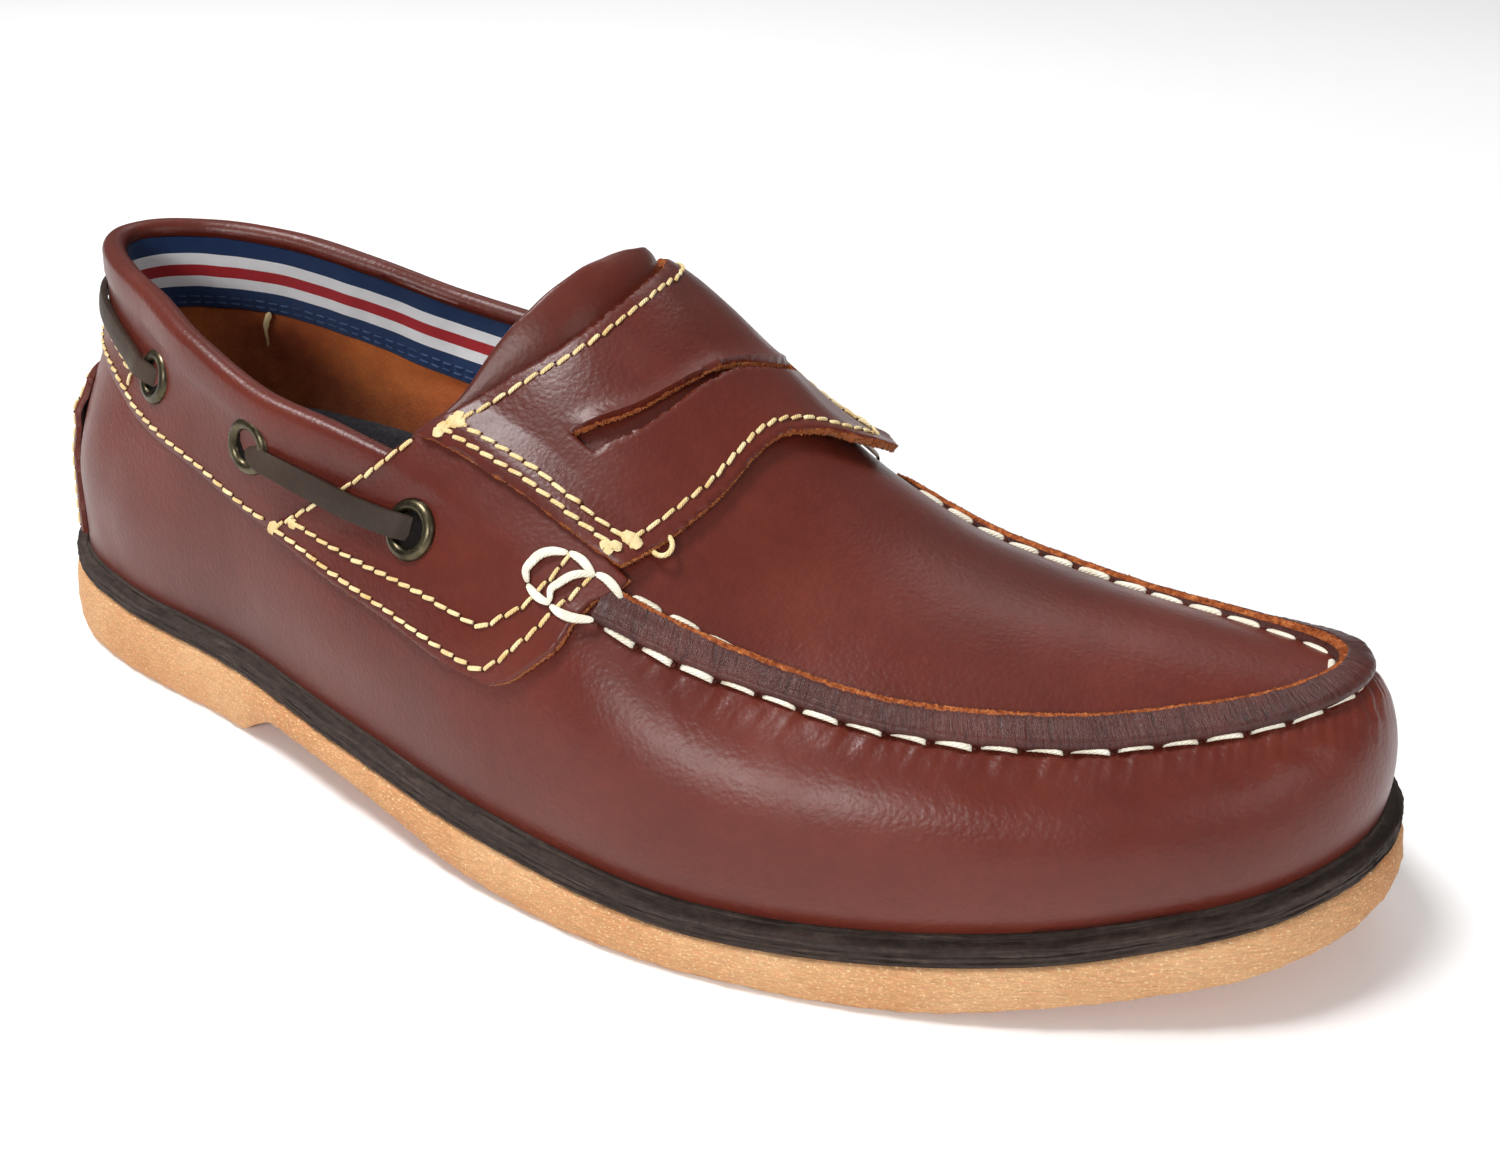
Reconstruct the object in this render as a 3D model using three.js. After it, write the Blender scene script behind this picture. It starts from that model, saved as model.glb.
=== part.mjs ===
import * as THREE from 'three';

// Right-foot boat shoe with a penny strap, in millimetres. The sections below are laid out from the
// heel (x = 0) to the toe (x = LENGTH) with +Y to the wearer's left, which is the medial side here, and
// +Z up. The finished group is shifted so that its origin is the centre of the base.

const LENGTH = 300;
const ORIGIN = { x: 150, y: -5.95 };
const TOE_SWING = { from: 140, sole: 7.9, top: 10.4 };
const COLLAR_BACK_X = 15;
const SEAM_TIP_X = 289;
const MIDSOLE = 5.4;
const FEATHER_INSET = 3;
const LEATHER = 2;
const GAP = 0.3;
const SEAT_GAP = 0.2;

// Half widths of the outsole about the heel's own axis.
const SOLE_WIDTHS = [
  { x: 12, lateral: 24.0, medial: 25.0 },
  { x: 36, lateral: 34.8, medial: 34.0 },
  { x: 72, lateral: 40.7, medial: 35.0 },
  { x: 114, lateral: 51.8, medial: 32.5 },
  { x: 156, lateral: 61.1, medial: 38.5 },
  { x: 198, lateral: 62.3, medial: 48.5 },
  { x: 234, lateral: 54.8, medial: 47.5 },
  { x: 264, lateral: 42.7, medial: 41.5 },
  { x: 288, lateral: 27.4, medial: 26.8 },
];

// Top line of the upper's wall: the collar back to x = 128, the apron seam in front of it.
const TOP_WIDTHS = [
  { x: 24, lateral: 12.8, medial: 16.2 },
  { x: 45, lateral: 23.2, medial: 26.0 },
  { x: 66, lateral: 32.0, medial: 31.0 },
  { x: 88, lateral: 37.0, medial: 36.0 },
  { x: 110, lateral: 38.3, medial: 38.0 },
  { x: 130, lateral: 40.0, medial: 39.5 },
  { x: 150, lateral: 44.0, medial: 41.5 },
  { x: 176, lateral: 49.1, medial: 41.3 },
  { x: 200, lateral: 45.2, medial: 37.8 },
  { x: 225, lateral: 42.6, medial: 31.5 },
  { x: 250, lateral: 33.9, medial: 25.8 },
  { x: 270, lateral: 23.4, medial: 18.8 },
  { x: 282, lateral: 14.6, medial: 11.6 },
];

const TOP_HEIGHTS = [
  { x: 15, lateral: 94.0, medial: 94.0 },
  { x: 24, lateral: 92.8, medial: 92.8 },
  { x: 45, lateral: 90.0, medial: 90.0 },
  { x: 66, lateral: 85.3, medial: 85.3 },
  { x: 88, lateral: 79.2, medial: 79.2 },
  { x: 110, lateral: 75.6, medial: 75.6 },
  { x: 130, lateral: 72.2, medial: 73.0 },
  { x: 150, lateral: 66.5, medial: 69.0 },
  { x: 176, lateral: 56.5, medial: 58.1 },
  { x: 200, lateral: 49.0, medial: 49.4 },
  { x: 225, lateral: 45.8, medial: 44.8 },
  { x: 250, lateral: 44.6, medial: 43.2 },
  { x: 270, lateral: 46.4, medial: 45.0 },
  { x: 289, lateral: 50.0, medial: 50.0 },
];

const CROWN_HEIGHTS = [
  { x: 120, z: 107 },
  { x: 150, z: 101.5 },
  { x: 162, z: 95 },
  { x: 176, z: 84 },
  { x: 190, z: 73 },
  { x: 200, z: 66.5 },
  { x: 213, z: 60.5 },
  { x: 225, z: 57.4 },
  { x: 250, z: 54 },
  { x: 270, z: 52.2 },
  { x: 289, z: 50 },
];

const OUTSOLE_TOP = [
  { x: 0, z: 19.0 },
  { x: 40, z: 15.3 },
  { x: 90, z: 13.9 },
  { x: 150, z: 11.0 },
  { x: 200, z: 7.7 },
  { x: 250, z: 11.3 },
  { x: 300, z: 22.5 },
];

// Underside: heel flat, breast, arch, forefoot flat and toe spring.
const OUTSOLE_BOTTOM = [
  { x: -5, z: 0 },
  { x: 78, z: 0 },
  { x: 84, z: 3.6 },
  { x: 92, z: 7.6 },
  { x: 120, z: 6.2 },
  { x: 150, z: 1.7 },
  { x: 170, z: 0 },
  { x: 224, z: 0 },
  { x: 262, z: 4.6 },
  { x: 303, z: 13.2 },
];

// How far the wall leans into a rounded vamp, how much it swells out, and how far the crown sits medially.
const WALL_SHAPE = [
  { x: 0, roundness: 0.0, swell: -3.0, skew: 0.14 },
  { x: 60, roundness: 0.0, swell: 1.5, skew: 0.14 },
  { x: 110, roundness: 0.04, swell: 1.0, skew: 0.14 },
  { x: 150, roundness: 0.5, swell: 2.0, skew: 0.14 },
  { x: 200, roundness: 0.9, swell: 3.5, skew: 0.12 },
  { x: 250, roundness: 0.95, swell: 3.5, skew: 0.04 },
  { x: 280, roundness: 1.0, swell: 1.3, skew: 0.0 },
  { x: 300, roundness: 1.0, swell: 0.4, skew: 0.0 },
];

// Share of the wall's height at which its rear half starts to lean in, and the share it leans over.
const HEEL_LEAN = { from: 0.25, over: 0.7 };

// Height of the footbed's cupped rim over the midsole.
const FOOTBED_RIM = [
  { x: 0, z: 20 },
  { x: 80, z: 21 },
  { x: 105, z: 13 },
  { x: 120, z: 7 },
  { x: 150, z: 5 },
  { x: 300, z: 4.5 },
];
const FOOTBED = { seat: 4.5, rim: 4, slope: 6 };

// Strap edges along x at each place across the instep; across runs from the lateral seam (-1) to the medial (1).
const STRAP = [
  { across: -0.86, top: 130.8, low: 173.0 },
  { across: -0.75, top: 135.5, low: 177.0 },
  { across: -0.6, top: 142.0, low: 180.5 },
  { across: -0.4, top: 149.5, low: 183.3 },
  { across: -0.2, top: 153.2, low: 184.2 },
  { across: 0, top: 154.6, low: 185.5 },
  { across: 0.2, top: 154.2, low: 189.3 },
  { across: 0.4, top: 151.0, low: 194.5 },
  { across: 0.6, top: 143.5, low: 196.5 },
  { across: 0.86, top: 131.5, low: 189.0 },
];
const STRAP_ROWS = [0, 0.12, 0.25, 0.37, 0.47, 0.6, 0.73, 0.87, 1];
const SLOT = { rowFrom: 4, rowTo: 5, reach: 0.65 };

const TONGUE_LIP = [
  { across: -0.84, rise: 0.8 },
  { across: -0.75, rise: 2.2 },
  { across: -0.6, rise: 6.2 },
  { across: -0.45, rise: 9.5 },
  { across: -0.3, rise: 10.5 },
  { across: -0.15, rise: 10.2 },
  { across: 0, rise: 9.0 },
  { across: 0.2, rise: 7.0 },
  { across: 0.4, rise: 4.8 },
  { across: 0.65, rise: 2.4 },
  { across: 0.84, rise: 0.8 },
];
const TONGUE_LEAN = { back: 0.65, up: 0.75 };

// Side panel corners as (x, across), for the lateral side; the medial one reaches further forward.
const PANEL = {
  rearTop: { x: 129.5, across: 0.885 },
  frontTop: { x: 174.5, across: 0.885 },
  rearLow: { x: 98.6, across: 1.42 },
  frontLow: { x: 159.5, across: 1.515 },
  lowSag: 0.02,
  medialReach: 12,
};

const EYELETS = [
  { name: 'rear', x: 53.8, across: 1.224, on: 0 },
  { name: 'mid', x: 87.2, across: 1.196, on: 0 },
  { name: 'front', x: 131.9, across: 1.222, on: 2.1 },
];
const EYELET = { outer: 6, inner: 3.6, height: 1.1 };
const LACE = { width: 5, thick: 1.7 };
const ROLL = { lateralEnd: 177.5, medialEnd: 199, width: 4.6, height: 3.0 };
const KICKER = { halfLow: 0.44, halfHigh: 0.31, low: 0.03, high: 0.54, ledge: 0.7 };

const COLOUR = {
  leather: 0x5a2a24,
  rubber: 0xc08a55,
  midsole: 0x2c211e,
  insole: 0x2a2624,
  roll: 0x4a2019,
  brass: 0x4b4538,
  lace: 0x2a211d,
};

// ---------- curves ----------

// Smooth curve through a short table, with no overshoot between its rows.
function curve(xs, ys) {
  const step = xs.slice(1).map((x, i) => (ys[i + 1] - ys[i]) / (x - xs[i]));
  const slope = xs.map((_, i) => {
    if (i === 0) return step[0];
    if (i === xs.length - 1) return step[i - 1];
    const a = step[i - 1];
    const b = step[i];
    return a * b <= 0 ? 0 : (2 * a * b) / (a + b);
  });
  return (x) => {
    const v = Math.min(Math.max(x, xs[0]), xs[xs.length - 1]);
    let k = 0;
    while (k < xs.length - 2 && xs[k + 1] <= v) k += 1;
    const h = xs[k + 1] - xs[k];
    const t = (v - xs[k]) / h;
    const s = 1 - t;
    return ys[k] * (1 + 2 * t) * s * s + slope[k] * h * t * s * s
      + ys[k + 1] * t * t * (3 - 2 * t) - slope[k + 1] * h * t * t * s;
  };
}

const column = (table, key, by = 'x') => curve(table.map((r) => r[by]), table.map((r) => r[key]));

// Half width against the angle round the outline, divided by its sine so that both ends come out round.
function roundEnds(table, key, x0, x1) {
  const angle = table.map((r) => Math.acos(1 - (2 * (r.x - x0)) / (x1 - x0)));
  const ratio = table.map((r, i) => r[key] / Math.sin(angle[i]));
  const last = ratio.length - 1;
  return curve([0, ...angle, Math.PI], [ratio[0], ...ratio, ratio[last]]);
}

const soleHalf = {
  lateral: roundEnds(SOLE_WIDTHS, 'lateral', 0, LENGTH),
  medial: roundEnds(SOLE_WIDTHS, 'medial', 0, LENGTH),
};
const topHalf = {
  lateral: roundEnds(TOP_WIDTHS, 'lateral', COLLAR_BACK_X, SEAM_TIP_X),
  medial: roundEnds(TOP_WIDTHS, 'medial', COLLAR_BACK_X, SEAM_TIP_X),
};
const topHeight = { lateral: column(TOP_HEIGHTS, 'lateral'), medial: column(TOP_HEIGHTS, 'medial') };
const crownHeight = column(CROWN_HEIGHTS, 'z');
const outsoleTop = column(OUTSOLE_TOP, 'z');
const outsoleBottom = column(OUTSOLE_BOTTOM, 'z');
const roundness = column(WALL_SHAPE, 'roundness');
const swell = column(WALL_SHAPE, 'swell');
const skew = column(WALL_SHAPE, 'skew');
const strapTop = column(STRAP, 'top', 'across');
const strapLow = column(STRAP, 'low', 'across');
const lipRise = column(TONGUE_LIP, 'rise', 'across');
const footbedRim = column(FOOTBED_RIM, 'z');

const mix = (a, b, t) => a + (b - a) * t;

function toeSwing(x, amount) {
  const u = Math.max(x - TOE_SWING.from, 0) / (LENGTH - TOE_SWING.from);
  return amount * u * u;
}

// ---------- the shape of the last ----------

// The angle runs from the heel along the lateral side to the toe (PI) and back along the medial side.
function side(turn) {
  const t = ((turn % (2 * Math.PI)) + 2 * Math.PI) % (2 * Math.PI);
  return t <= Math.PI ? { key: 'lateral', sign: -1, angle: t } : { key: 'medial', sign: 1, angle: 2 * Math.PI - t };
}

function rawOutline(turn) {
  const s = side(turn);
  const x = (LENGTH * (1 - Math.cos(s.angle))) / 2;
  const y = s.sign * soleHalf[s.key](s.angle) * Math.sin(s.angle) + toeSwing(x, TOE_SWING.sole);
  return { x, y };
}

function outline(turn, offset) {
  const e = 0.001;
  const p = rawOutline(turn);
  const a = rawOutline(turn - e);
  const b = rawOutline(turn + e);
  const m = Math.hypot(b.x - a.x, b.y - a.y);
  const nx = (b.y - a.y) / m;
  const ny = -(b.x - a.x) / m;
  return { x: p.x + nx * offset, y: p.y + ny * offset, nx, ny };
}

function topLine(turn) {
  const s = side(turn);
  const x = COLLAR_BACK_X + ((SEAM_TIP_X - COLLAR_BACK_X) * (1 - Math.cos(s.angle))) / 2;
  const heelShift = 2 * (1 - Math.min(x / 90, 1));
  const y = s.sign * topHalf[s.key](s.angle) * Math.sin(s.angle) + toeSwing(x, TOE_SWING.top) + heelShift;
  return new THREE.Vector3(x, y, topHeight[s.key](x));
}

const angleAt = (x) => Math.acos(1 - (2 * (x - COLLAR_BACK_X)) / (SEAM_TIP_X - COLLAR_BACK_X));

// Upright near the sole, leaning in higher up.
function heelLean(t) {
  const u = Math.min(Math.max((t - HEEL_LEAN.from) / HEEL_LEAN.over, 0), 1);
  return u * u * (3 - 2 * u);
}

// Wall of the upper from its base (0) to its top line (1).
function wall(turn, t) {
  const f = outline(turn, -FEATHER_INSET);
  const base = outsoleTop(f.x) + MIDSOLE;
  const top = topLine(turn);
  const w = roundness(top.x);
  const e = (Math.PI / 2) * t;
  const inward = (1 - w) * heelLean(t) + w * (1 - Math.cos(e));
  const rise = (1 - w) * t + w * Math.sin(e);
  const out = swell(top.x) * Math.sin(Math.PI * t ** 0.72);
  return new THREE.Vector3(
    f.x + (top.x - f.x) * inward + f.nx * out,
    f.y + (top.y - f.y) * inward + f.ny * out,
    base + (top.z - base) * rise,
  );
}

// Crowned apron between the two top lines, across from -1 to 1.
function apron(angle, across) {
  const a = topLine(angle);
  const b = topLine(2 * Math.PI - angle);
  const p = a.clone().lerp(b, (1 + across) / 2);
  const lean = across - skew(a.x) * (1 - across * across);
  p.z += (crownHeight(a.x) - (a.z + b.z) / 2) * (1 - Math.abs(lean) ** 2.1);
  return p;
}

// The whole skin at one angle: lateral base -2, lateral seam -1, medial seam 1, medial base 2.
function skin(angle, across) {
  if (Math.abs(across) <= 1) return apron(angle, across);
  const turn = across < 0 ? angle : 2 * Math.PI - angle;
  return wall(turn, Math.min(Math.max(2 - Math.abs(across), 0), 1));
}

function softSkin(angle, across) {
  const e = 0.03;
  return skin(angle, across)
    .multiplyScalar(0.5)
    .addScaledVector(skin(angle, across - e), 0.25)
    .addScaledVector(skin(angle, across + e), 0.25);
}

// A place on the skin, moved out along its normal.
function overSkin(x, across, lift) {
  const angle = angleAt(x);
  const p = softSkin(angle, across);
  const u = softSkin(angle + 0.02, across).sub(softSkin(angle - 0.02, across));
  const v = softSkin(angle, across + 0.04).sub(softSkin(angle, across - 0.04));
  return p.addScaledVector(u.cross(v).normalize(), lift);
}

function overWall(turn, t, lift) {
  const u = wall(turn + 0.02, t).sub(wall(turn - 0.02, t));
  const v = wall(turn, t + 0.02).sub(wall(turn, t - 0.02));
  return wall(turn, t).addScaledVector(u.cross(v).normalize(), lift);
}

// ---------- solids ----------

function solid(points, faces) {
  const g = new THREE.BufferGeometry();
  g.setAttribute('position', new THREE.Float32BufferAttribute(points.flatMap((p) => [p.x, p.y, p.z]), 3));
  const volume = faces.reduce((sum, [a, b, c]) => sum + points[a].dot(points[b].clone().cross(points[c])), 0);
  g.setIndex(faces.flatMap(([a, b, c]) => (volume > 0 ? [a, b, c] : [a, c, b])));
  g.translate(-ORIGIN.x, -ORIGIN.y, 0);
  g.computeVertexNormals();
  return g;
}

const quad = (a, b, c, d) => [[a, b, c], [a, c, d]];

// Rings stacked upward, closed by strips from each place on one side to its twin on the other.
function slab(rings) {
  const n = rings[0].length;
  const faces = [];
  for (let k = 0; k < rings.length - 1; k += 1) {
    for (let i = 0; i < n; i += 1) {
      const j = (i + 1) % n;
      faces.push(...quad(k * n + i, k * n + j, (k + 1) * n + j, (k + 1) * n + i));
    }
  }
  for (const [k, flip] of [[0, true], [rings.length - 1, false]]) {
    for (let i = 0; i < n / 2; i += 1) {
      const a = k * n + i;
      const b = k * n + i + 1;
      const c = k * n + ((n - i - 1) % n);
      const d = k * n + ((n - i) % n);
      const strip = i === 0 ? [[a, b, c]] : i === n / 2 - 1 ? [[a, b, d]] : quad(a, b, c, d);
      faces.push(...strip.map(([p, q, r]) => (flip ? [p, r, q] : [p, q, r])));
    }
  }
  return solid(rings.flat(), faces);
}

// A sheet with thickness, from matching grids above and below; cells that keep() refuses are holes.
function sheet(above, below, keep = () => true) {
  const rows = above.length;
  const cols = above[0].length;
  const points = [...above.flat(), ...below.flat()];
  const under = rows * cols;
  const at = (i, j) => i * cols + j;
  const kept = (i, j) => i >= 0 && j >= 0 && i < rows - 1 && j < cols - 1 && keep(i, j);
  const faces = [];
  for (let i = 0; i < rows - 1; i += 1) {
    for (let j = 0; j < cols - 1; j += 1) {
      if (!kept(i, j)) continue;
      const c = [at(i, j), at(i + 1, j), at(i + 1, j + 1), at(i, j + 1)];
      faces.push(...quad(...c));
      faces.push(...quad(c[3] + under, c[2] + under, c[1] + under, c[0] + under));
      const borders = [[i, j - 1, 0, 1], [i + 1, j, 1, 2], [i, j + 1, 2, 3], [i - 1, j, 3, 0]];
      for (const [p, q, a, b] of borders) {
        if (!kept(p, q)) faces.push(...quad(c[b], c[a], c[a] + under, c[b] + under));
      }
    }
  }
  return solid(points, faces);
}

// Closed rings joined one after another, with a flat cap on both ends.
function bar(rings) {
  const n = rings[0].length;
  const faces = [];
  for (let k = 0; k < rings.length - 1; k += 1) {
    for (let i = 0; i < n; i += 1) {
      const j = (i + 1) % n;
      faces.push(...quad(k * n + i, k * n + j, (k + 1) * n + j, (k + 1) * n + i));
    }
  }
  const last = (rings.length - 1) * n;
  for (let i = 1; i < n - 1; i += 1) faces.push([0, i + 1, i], [last, last + i, last + i + 1]);
  return solid(rings.flat(), faces);
}

const range = (n, f) => Array.from({ length: n + 1 }, (_, i) => f(i / n, i));

// ---------- sole ----------

const HALF_STEPS = 40;

// Angles round half the outline, with extra ones at the edges of the heel breast.
function halfTurns(extra = []) {
  const even = range(HALF_STEPS, (t) => Math.PI * t);
  const own = extra.map((x) => Math.acos(1 - (2 * x) / LENGTH));
  const clear = even.filter((a) => a === 0 || a === Math.PI || own.every((b) => Math.abs(a - b) > 0.025));
  return [...clear, ...own].sort((a, b) => a - b);
}

function ringAt(turns, offset, height) {
  const lateral = turns;
  const medial = turns.slice(1, -1).reverse().map((t) => 2 * Math.PI - t);
  return [...lateral, ...medial].map((t) => {
    const p = outline(t, offset);
    return new THREE.Vector3(p.x, p.y, height(p.x));
  });
}

function outsole() {
  const turns = halfTurns([70, 77.8, 81, 84, 88, 92, 170.2, 223.8]);
  const between = (share) => (x) => mix(outsoleBottom(x), outsoleTop(x), share);
  return slab([
    ringAt(turns, -0.8, outsoleBottom),
    ringAt(turns, 1.4, between(0.16)),
    ringAt(turns, 1.5, between(0.45)),
    ringAt(turns, 0.2, outsoleTop),
  ]);
}

function midsole() {
  const turns = halfTurns();
  const up = (h) => (x) => outsoleTop(x) + h;
  return slab([
    ringAt(turns, -0.3, up(SEAT_GAP)),
    ringAt(turns, -0.2, up(3.6)),
    ringAt(turns, -1.2, up(MIDSOLE - SEAT_GAP)),
  ]);
}

function insole() {
  const turns = halfTurns();
  const inset = -(FEATHER_INSET + LEATHER + 0.8);
  const up = (h) => (x) => outsoleTop(x) + MIDSOLE + h;
  const rim = (x) => outsoleTop(x) + MIDSOLE + footbedRim(x);
  return slab([
    ringAt(turns, inset, up(0.1)),
    ringAt(turns, inset - FOOTBED.rim, rim),
    ringAt(turns, inset - FOOTBED.rim - 1.5, rim),
    ringAt(turns, inset - FOOTBED.rim - FOOTBED.slope, up(FOOTBED.seat)),
  ]);
}

// ---------- upper ----------

const WALL_STEPS = 6;
const APRON_STEPS = 12;

// Back edge of the apron, just behind the strap's top edge.
const throatX = (across) => strapTop(across) - 1.2;

function upper() {
  const start = angleAt(throatX(-0.9));
  const front = range(26, (t) => mix(start, Math.PI, t));
  const rear = range(14, (t) => start * t).slice(0, -1);
  const half = [...rear, ...front];
  const n = 2 * (half.length - 1);
  const turns = [...half, ...half.slice(1, -1).reverse().map((t) => 2 * Math.PI - t)];
  const points = [];
  const faces = [];
  const wallAt = (i, k) => k * n + (i % n);
  range(WALL_STEPS, (t) => turns.forEach((turn) => points.push(wall(turn, t))));
  for (let k = 0; k < WALL_STEPS; k += 1) {
    for (let i = 0; i < n; i += 1) {
      faces.push(...quad(wallAt(i, k), wallAt(i + 1, k), wallAt(i + 1, k + 1), wallAt(i, k + 1)));
    }
  }
  const first = rear.length;
  const toe = n / 2;
  const rowsOf = [];
  for (let i = first; i < toe; i += 1) {
    const row = [wallAt(i, WALL_STEPS)];
    for (let c = 1; c < APRON_STEPS; c += 1) {
      const across = (2 * c) / APRON_STEPS - 1;
      const back = angleAt(throatX(across));
      const share = (turns[i] - start) / (Math.PI - start);
      row.push(points.length);
      points.push(apron(mix(back, Math.PI, share), across));
    }
    row.push(wallAt(n - i, WALL_STEPS));
    rowsOf.push(row);
  }
  for (let r = 0; r < rowsOf.length - 1; r += 1) {
    for (let c = 0; c < APRON_STEPS; c += 1) {
      faces.push(...quad(rowsOf[r][c], rowsOf[r + 1][c], rowsOf[r + 1][c + 1], rowsOf[r][c + 1]));
    }
  }
  const lastRow = rowsOf[rowsOf.length - 1];
  for (let c = 0; c < APRON_STEPS; c += 1) {
    faces.push([lastRow[c], wallAt(toe, WALL_STEPS), lastRow[c + 1]]);
  }
  return thicken(points, faces, n);
}

// Gives the skin its inner face, and closes the rims at the base, the collar and the throat.
function thicken(points, faces, baseCount) {
  const normals = points.map(() => new THREE.Vector3());
  for (const [a, b, c] of faces) {
    const u = points[b].clone().sub(points[a]);
    const v = points[c].clone().sub(points[a]);
    const f = u.cross(v);
    [a, b, c].forEach((k) => normals[k].add(f));
  }
  const count = points.length;
  const inner = points.map((p, i) => {
    const q = p.clone().addScaledVector(normals[i].normalize(), -LEATHER);
    if (i < baseCount) q.z = outsoleTop(q.x) + MIDSOLE;
    return q;
  });
  const edges = new Map();
  for (const f of faces) {
    f.forEach((a, k) => edges.set(`${a} ${f[(k + 1) % 3]}`, [a, f[(k + 1) % 3]]));
  }
  const rims = [...edges.values()].filter(([a, b]) => !edges.has(`${b} ${a}`));
  const inside = faces.map(([a, b, c]) => [a + count, c + count, b + count]);
  const rimFaces = rims.flatMap(([a, b]) => quad(b, a, a + count, b + count));
  return solid([...points, ...inner], [...faces, ...inside, ...rimFaces]);
}

function tongue() {
  const grid = (depth) => range(20, (s) => {
    const across = mix(-0.84, 0.84, s);
    const root = apron(angleAt(strapTop(across) - 1.6), across);
    const { back: lean, up } = TONGUE_LEAN;
    return range(3, (t) => {
      const rise = t * lipRise(across);
      return root.clone().add(new THREE.Vector3(-lean * rise - up * depth, 0, up * rise - lean * depth));
    });
  });
  return sheet(grid(0), grid(LEATHER));
}

// ---------- overlays ----------

function strap() {
  const cols = range(24, (s) => mix(-0.86, 0.86, s));
  const grid = (lift) => cols.map((across) => STRAP_ROWS.map(
    (t) => overSkin(mix(strapTop(across), strapLow(across), t), across, lift),
  ));
  const inSlot = (i, j) => j >= SLOT.rowFrom && j < SLOT.rowTo
    && Math.abs(cols[i]) < SLOT.reach && Math.abs(cols[i + 1]) < SLOT.reach + 0.03;
  return sheet(grid(LEATHER + 0.6), grid(0.6), (i, j) => !inSlot(i, j));
}

function panel(sign) {
  const grid = (lift) => range(12, (s) => range(7, (t) => {
    const reach = sign > 0 ? PANEL.medialReach * s * s : 0;
    const x = mix(mix(PANEL.rearTop.x, PANEL.frontTop.x, s), mix(PANEL.rearLow.x, PANEL.frontLow.x, s), t) + reach;
    const low = mix(PANEL.rearLow.across, PANEL.frontLow.across, s) + PANEL.lowSag * Math.sin(Math.PI * s);
    return overSkin(x, sign * mix(PANEL.rearTop.across, low, t), lift);
  }));
  return sheet(grid(LEATHER + 0.2), grid(0.9));
}

// Height of the apron over a place in plan.
function apronZ(x, y) {
  const angle = angleAt(Math.min(x, SEAM_TIP_X - 0.5));
  const a = topLine(angle);
  const b = topLine(2 * Math.PI - angle);
  const across = (2 * (y - a.y)) / (b.y - a.y) - 1;
  return apron(angle, Math.min(Math.max(across, -1), 1)).z;
}

// Gathered roll that stands along the apron seam, from the lateral panel round the toe to the medial one.
function apronRoll() {
  const stations = range(56, (s) => mix(angleAt(ROLL.lateralEnd), 2 * Math.PI - angleAt(ROLL.medialEnd), s));
  const section = [
    { out: -0.3, up: 0 },
    { out: -0.46, up: 0.5 },
    { out: 0.15, up: 0.95 },
    { out: 0.5, up: 1 },
    { out: 0.85, up: 0.8 },
    { out: 1.02, up: 0.4 },
    { out: 1.0, up: 0 },
    { out: 0.5, up: 0 },
  ];
  const rings = stations.map((turn) => {
    const edge = topLine(turn);
    const ahead = topLine(turn + 0.01).sub(topLine(turn - 0.01));
    const inward = new THREE.Vector3(-ahead.y, ahead.x, 0).normalize();
    return section.map(({ out, up }) => {
      const p = edge.clone().addScaledVector(inward, out * ROLL.width);
      p.z = Math.max(apronZ(p.x, p.y), edge.z) + 0.7 + up * ROLL.height;
      return p;
    });
  });
  return bar(rings);
}

function kicker() {
  const ledge = (t) => KICKER.ledge * Math.max(0, 1 - Math.abs(t - 0.76) / 0.2);
  const grid = (lift) => range(12, (s) => range(8, (t) => {
    const half = mix(KICKER.halfLow, KICKER.halfHigh, t);
    return overWall(mix(-half, half, s), mix(KICKER.low, KICKER.high, t), lift + ledge(t));
  }));
  return sheet(grid(GAP + 1.6), grid(GAP));
}

// ---------- eyelets and lace ----------

function eyelet(spec, sign) {
  const low = 0.6 + spec.on;
  const profile = [
    [EYELET.inner, low],
    [EYELET.outer, low],
    [EYELET.outer - 0.3, low + EYELET.height * 0.7],
    [EYELET.outer - 1.2, low + EYELET.height],
    [EYELET.inner + 0.4, low + EYELET.height * 0.8],
    [EYELET.inner, low],
  ].map(([r, h]) => new THREE.Vector2(r, h));
  const ring = new THREE.LatheGeometry(profile, 16);
  const centre = overSkin(spec.x, sign * spec.across, 0);
  const normal = overSkin(spec.x, sign * spec.across, 1).sub(centre);
  const turn = new THREE.Quaternion().setFromUnitVectors(new THREE.Vector3(0, 1, 0), normal.normalize());
  const at = ring.attributes.position;
  const points = [];
  const steps = 16;
  const rows = profile.length - 1;
  for (let i = 0; i < steps; i += 1) {
    for (let j = 0; j < rows; j += 1) {
      const p = new THREE.Vector3().fromBufferAttribute(at, i * profile.length + j);
      points.push(p.applyQuaternion(turn).add(centre));
    }
  }
  const faces = [];
  for (let i = 0; i < steps; i += 1) {
    for (let j = 0; j < rows; j += 1) {
      const k = (i + 1) % steps;
      const m = (j + 1) % rows;
      faces.push(...quad(i * rows + j, i * rows + m, k * rows + m, k * rows + j));
    }
  }
  return solid(points, faces);
}

// Flat lace laid over the skin: place(s) gives the skin point for a lift and a shift across its width.
function lace(place, steps) {
  const w = LACE.width / 2;
  return bar(range(steps, (s) => [
    place(s, -w, 0), place(s, w, 0), place(s, w, LACE.thick), place(s, -w, LACE.thick),
  ]));
}

// Lift over the skin between two eyelets: down inside each ring, over its rim, and clear of the panel.
function laceLift(s, span, lowStart, lowEnd, clear) {
  const d = Math.min(s, 1 - s) * span;
  const low = s < 0.5 ? lowStart : lowEnd;
  const rim = low + 1.5;
  if (d < 4) return mix(low, rim, d / 4);
  if (d < 8) return rim;
  return mix(rim, Math.max(clear, rim), Math.min((d - 8) / 5, 1));
}

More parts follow.
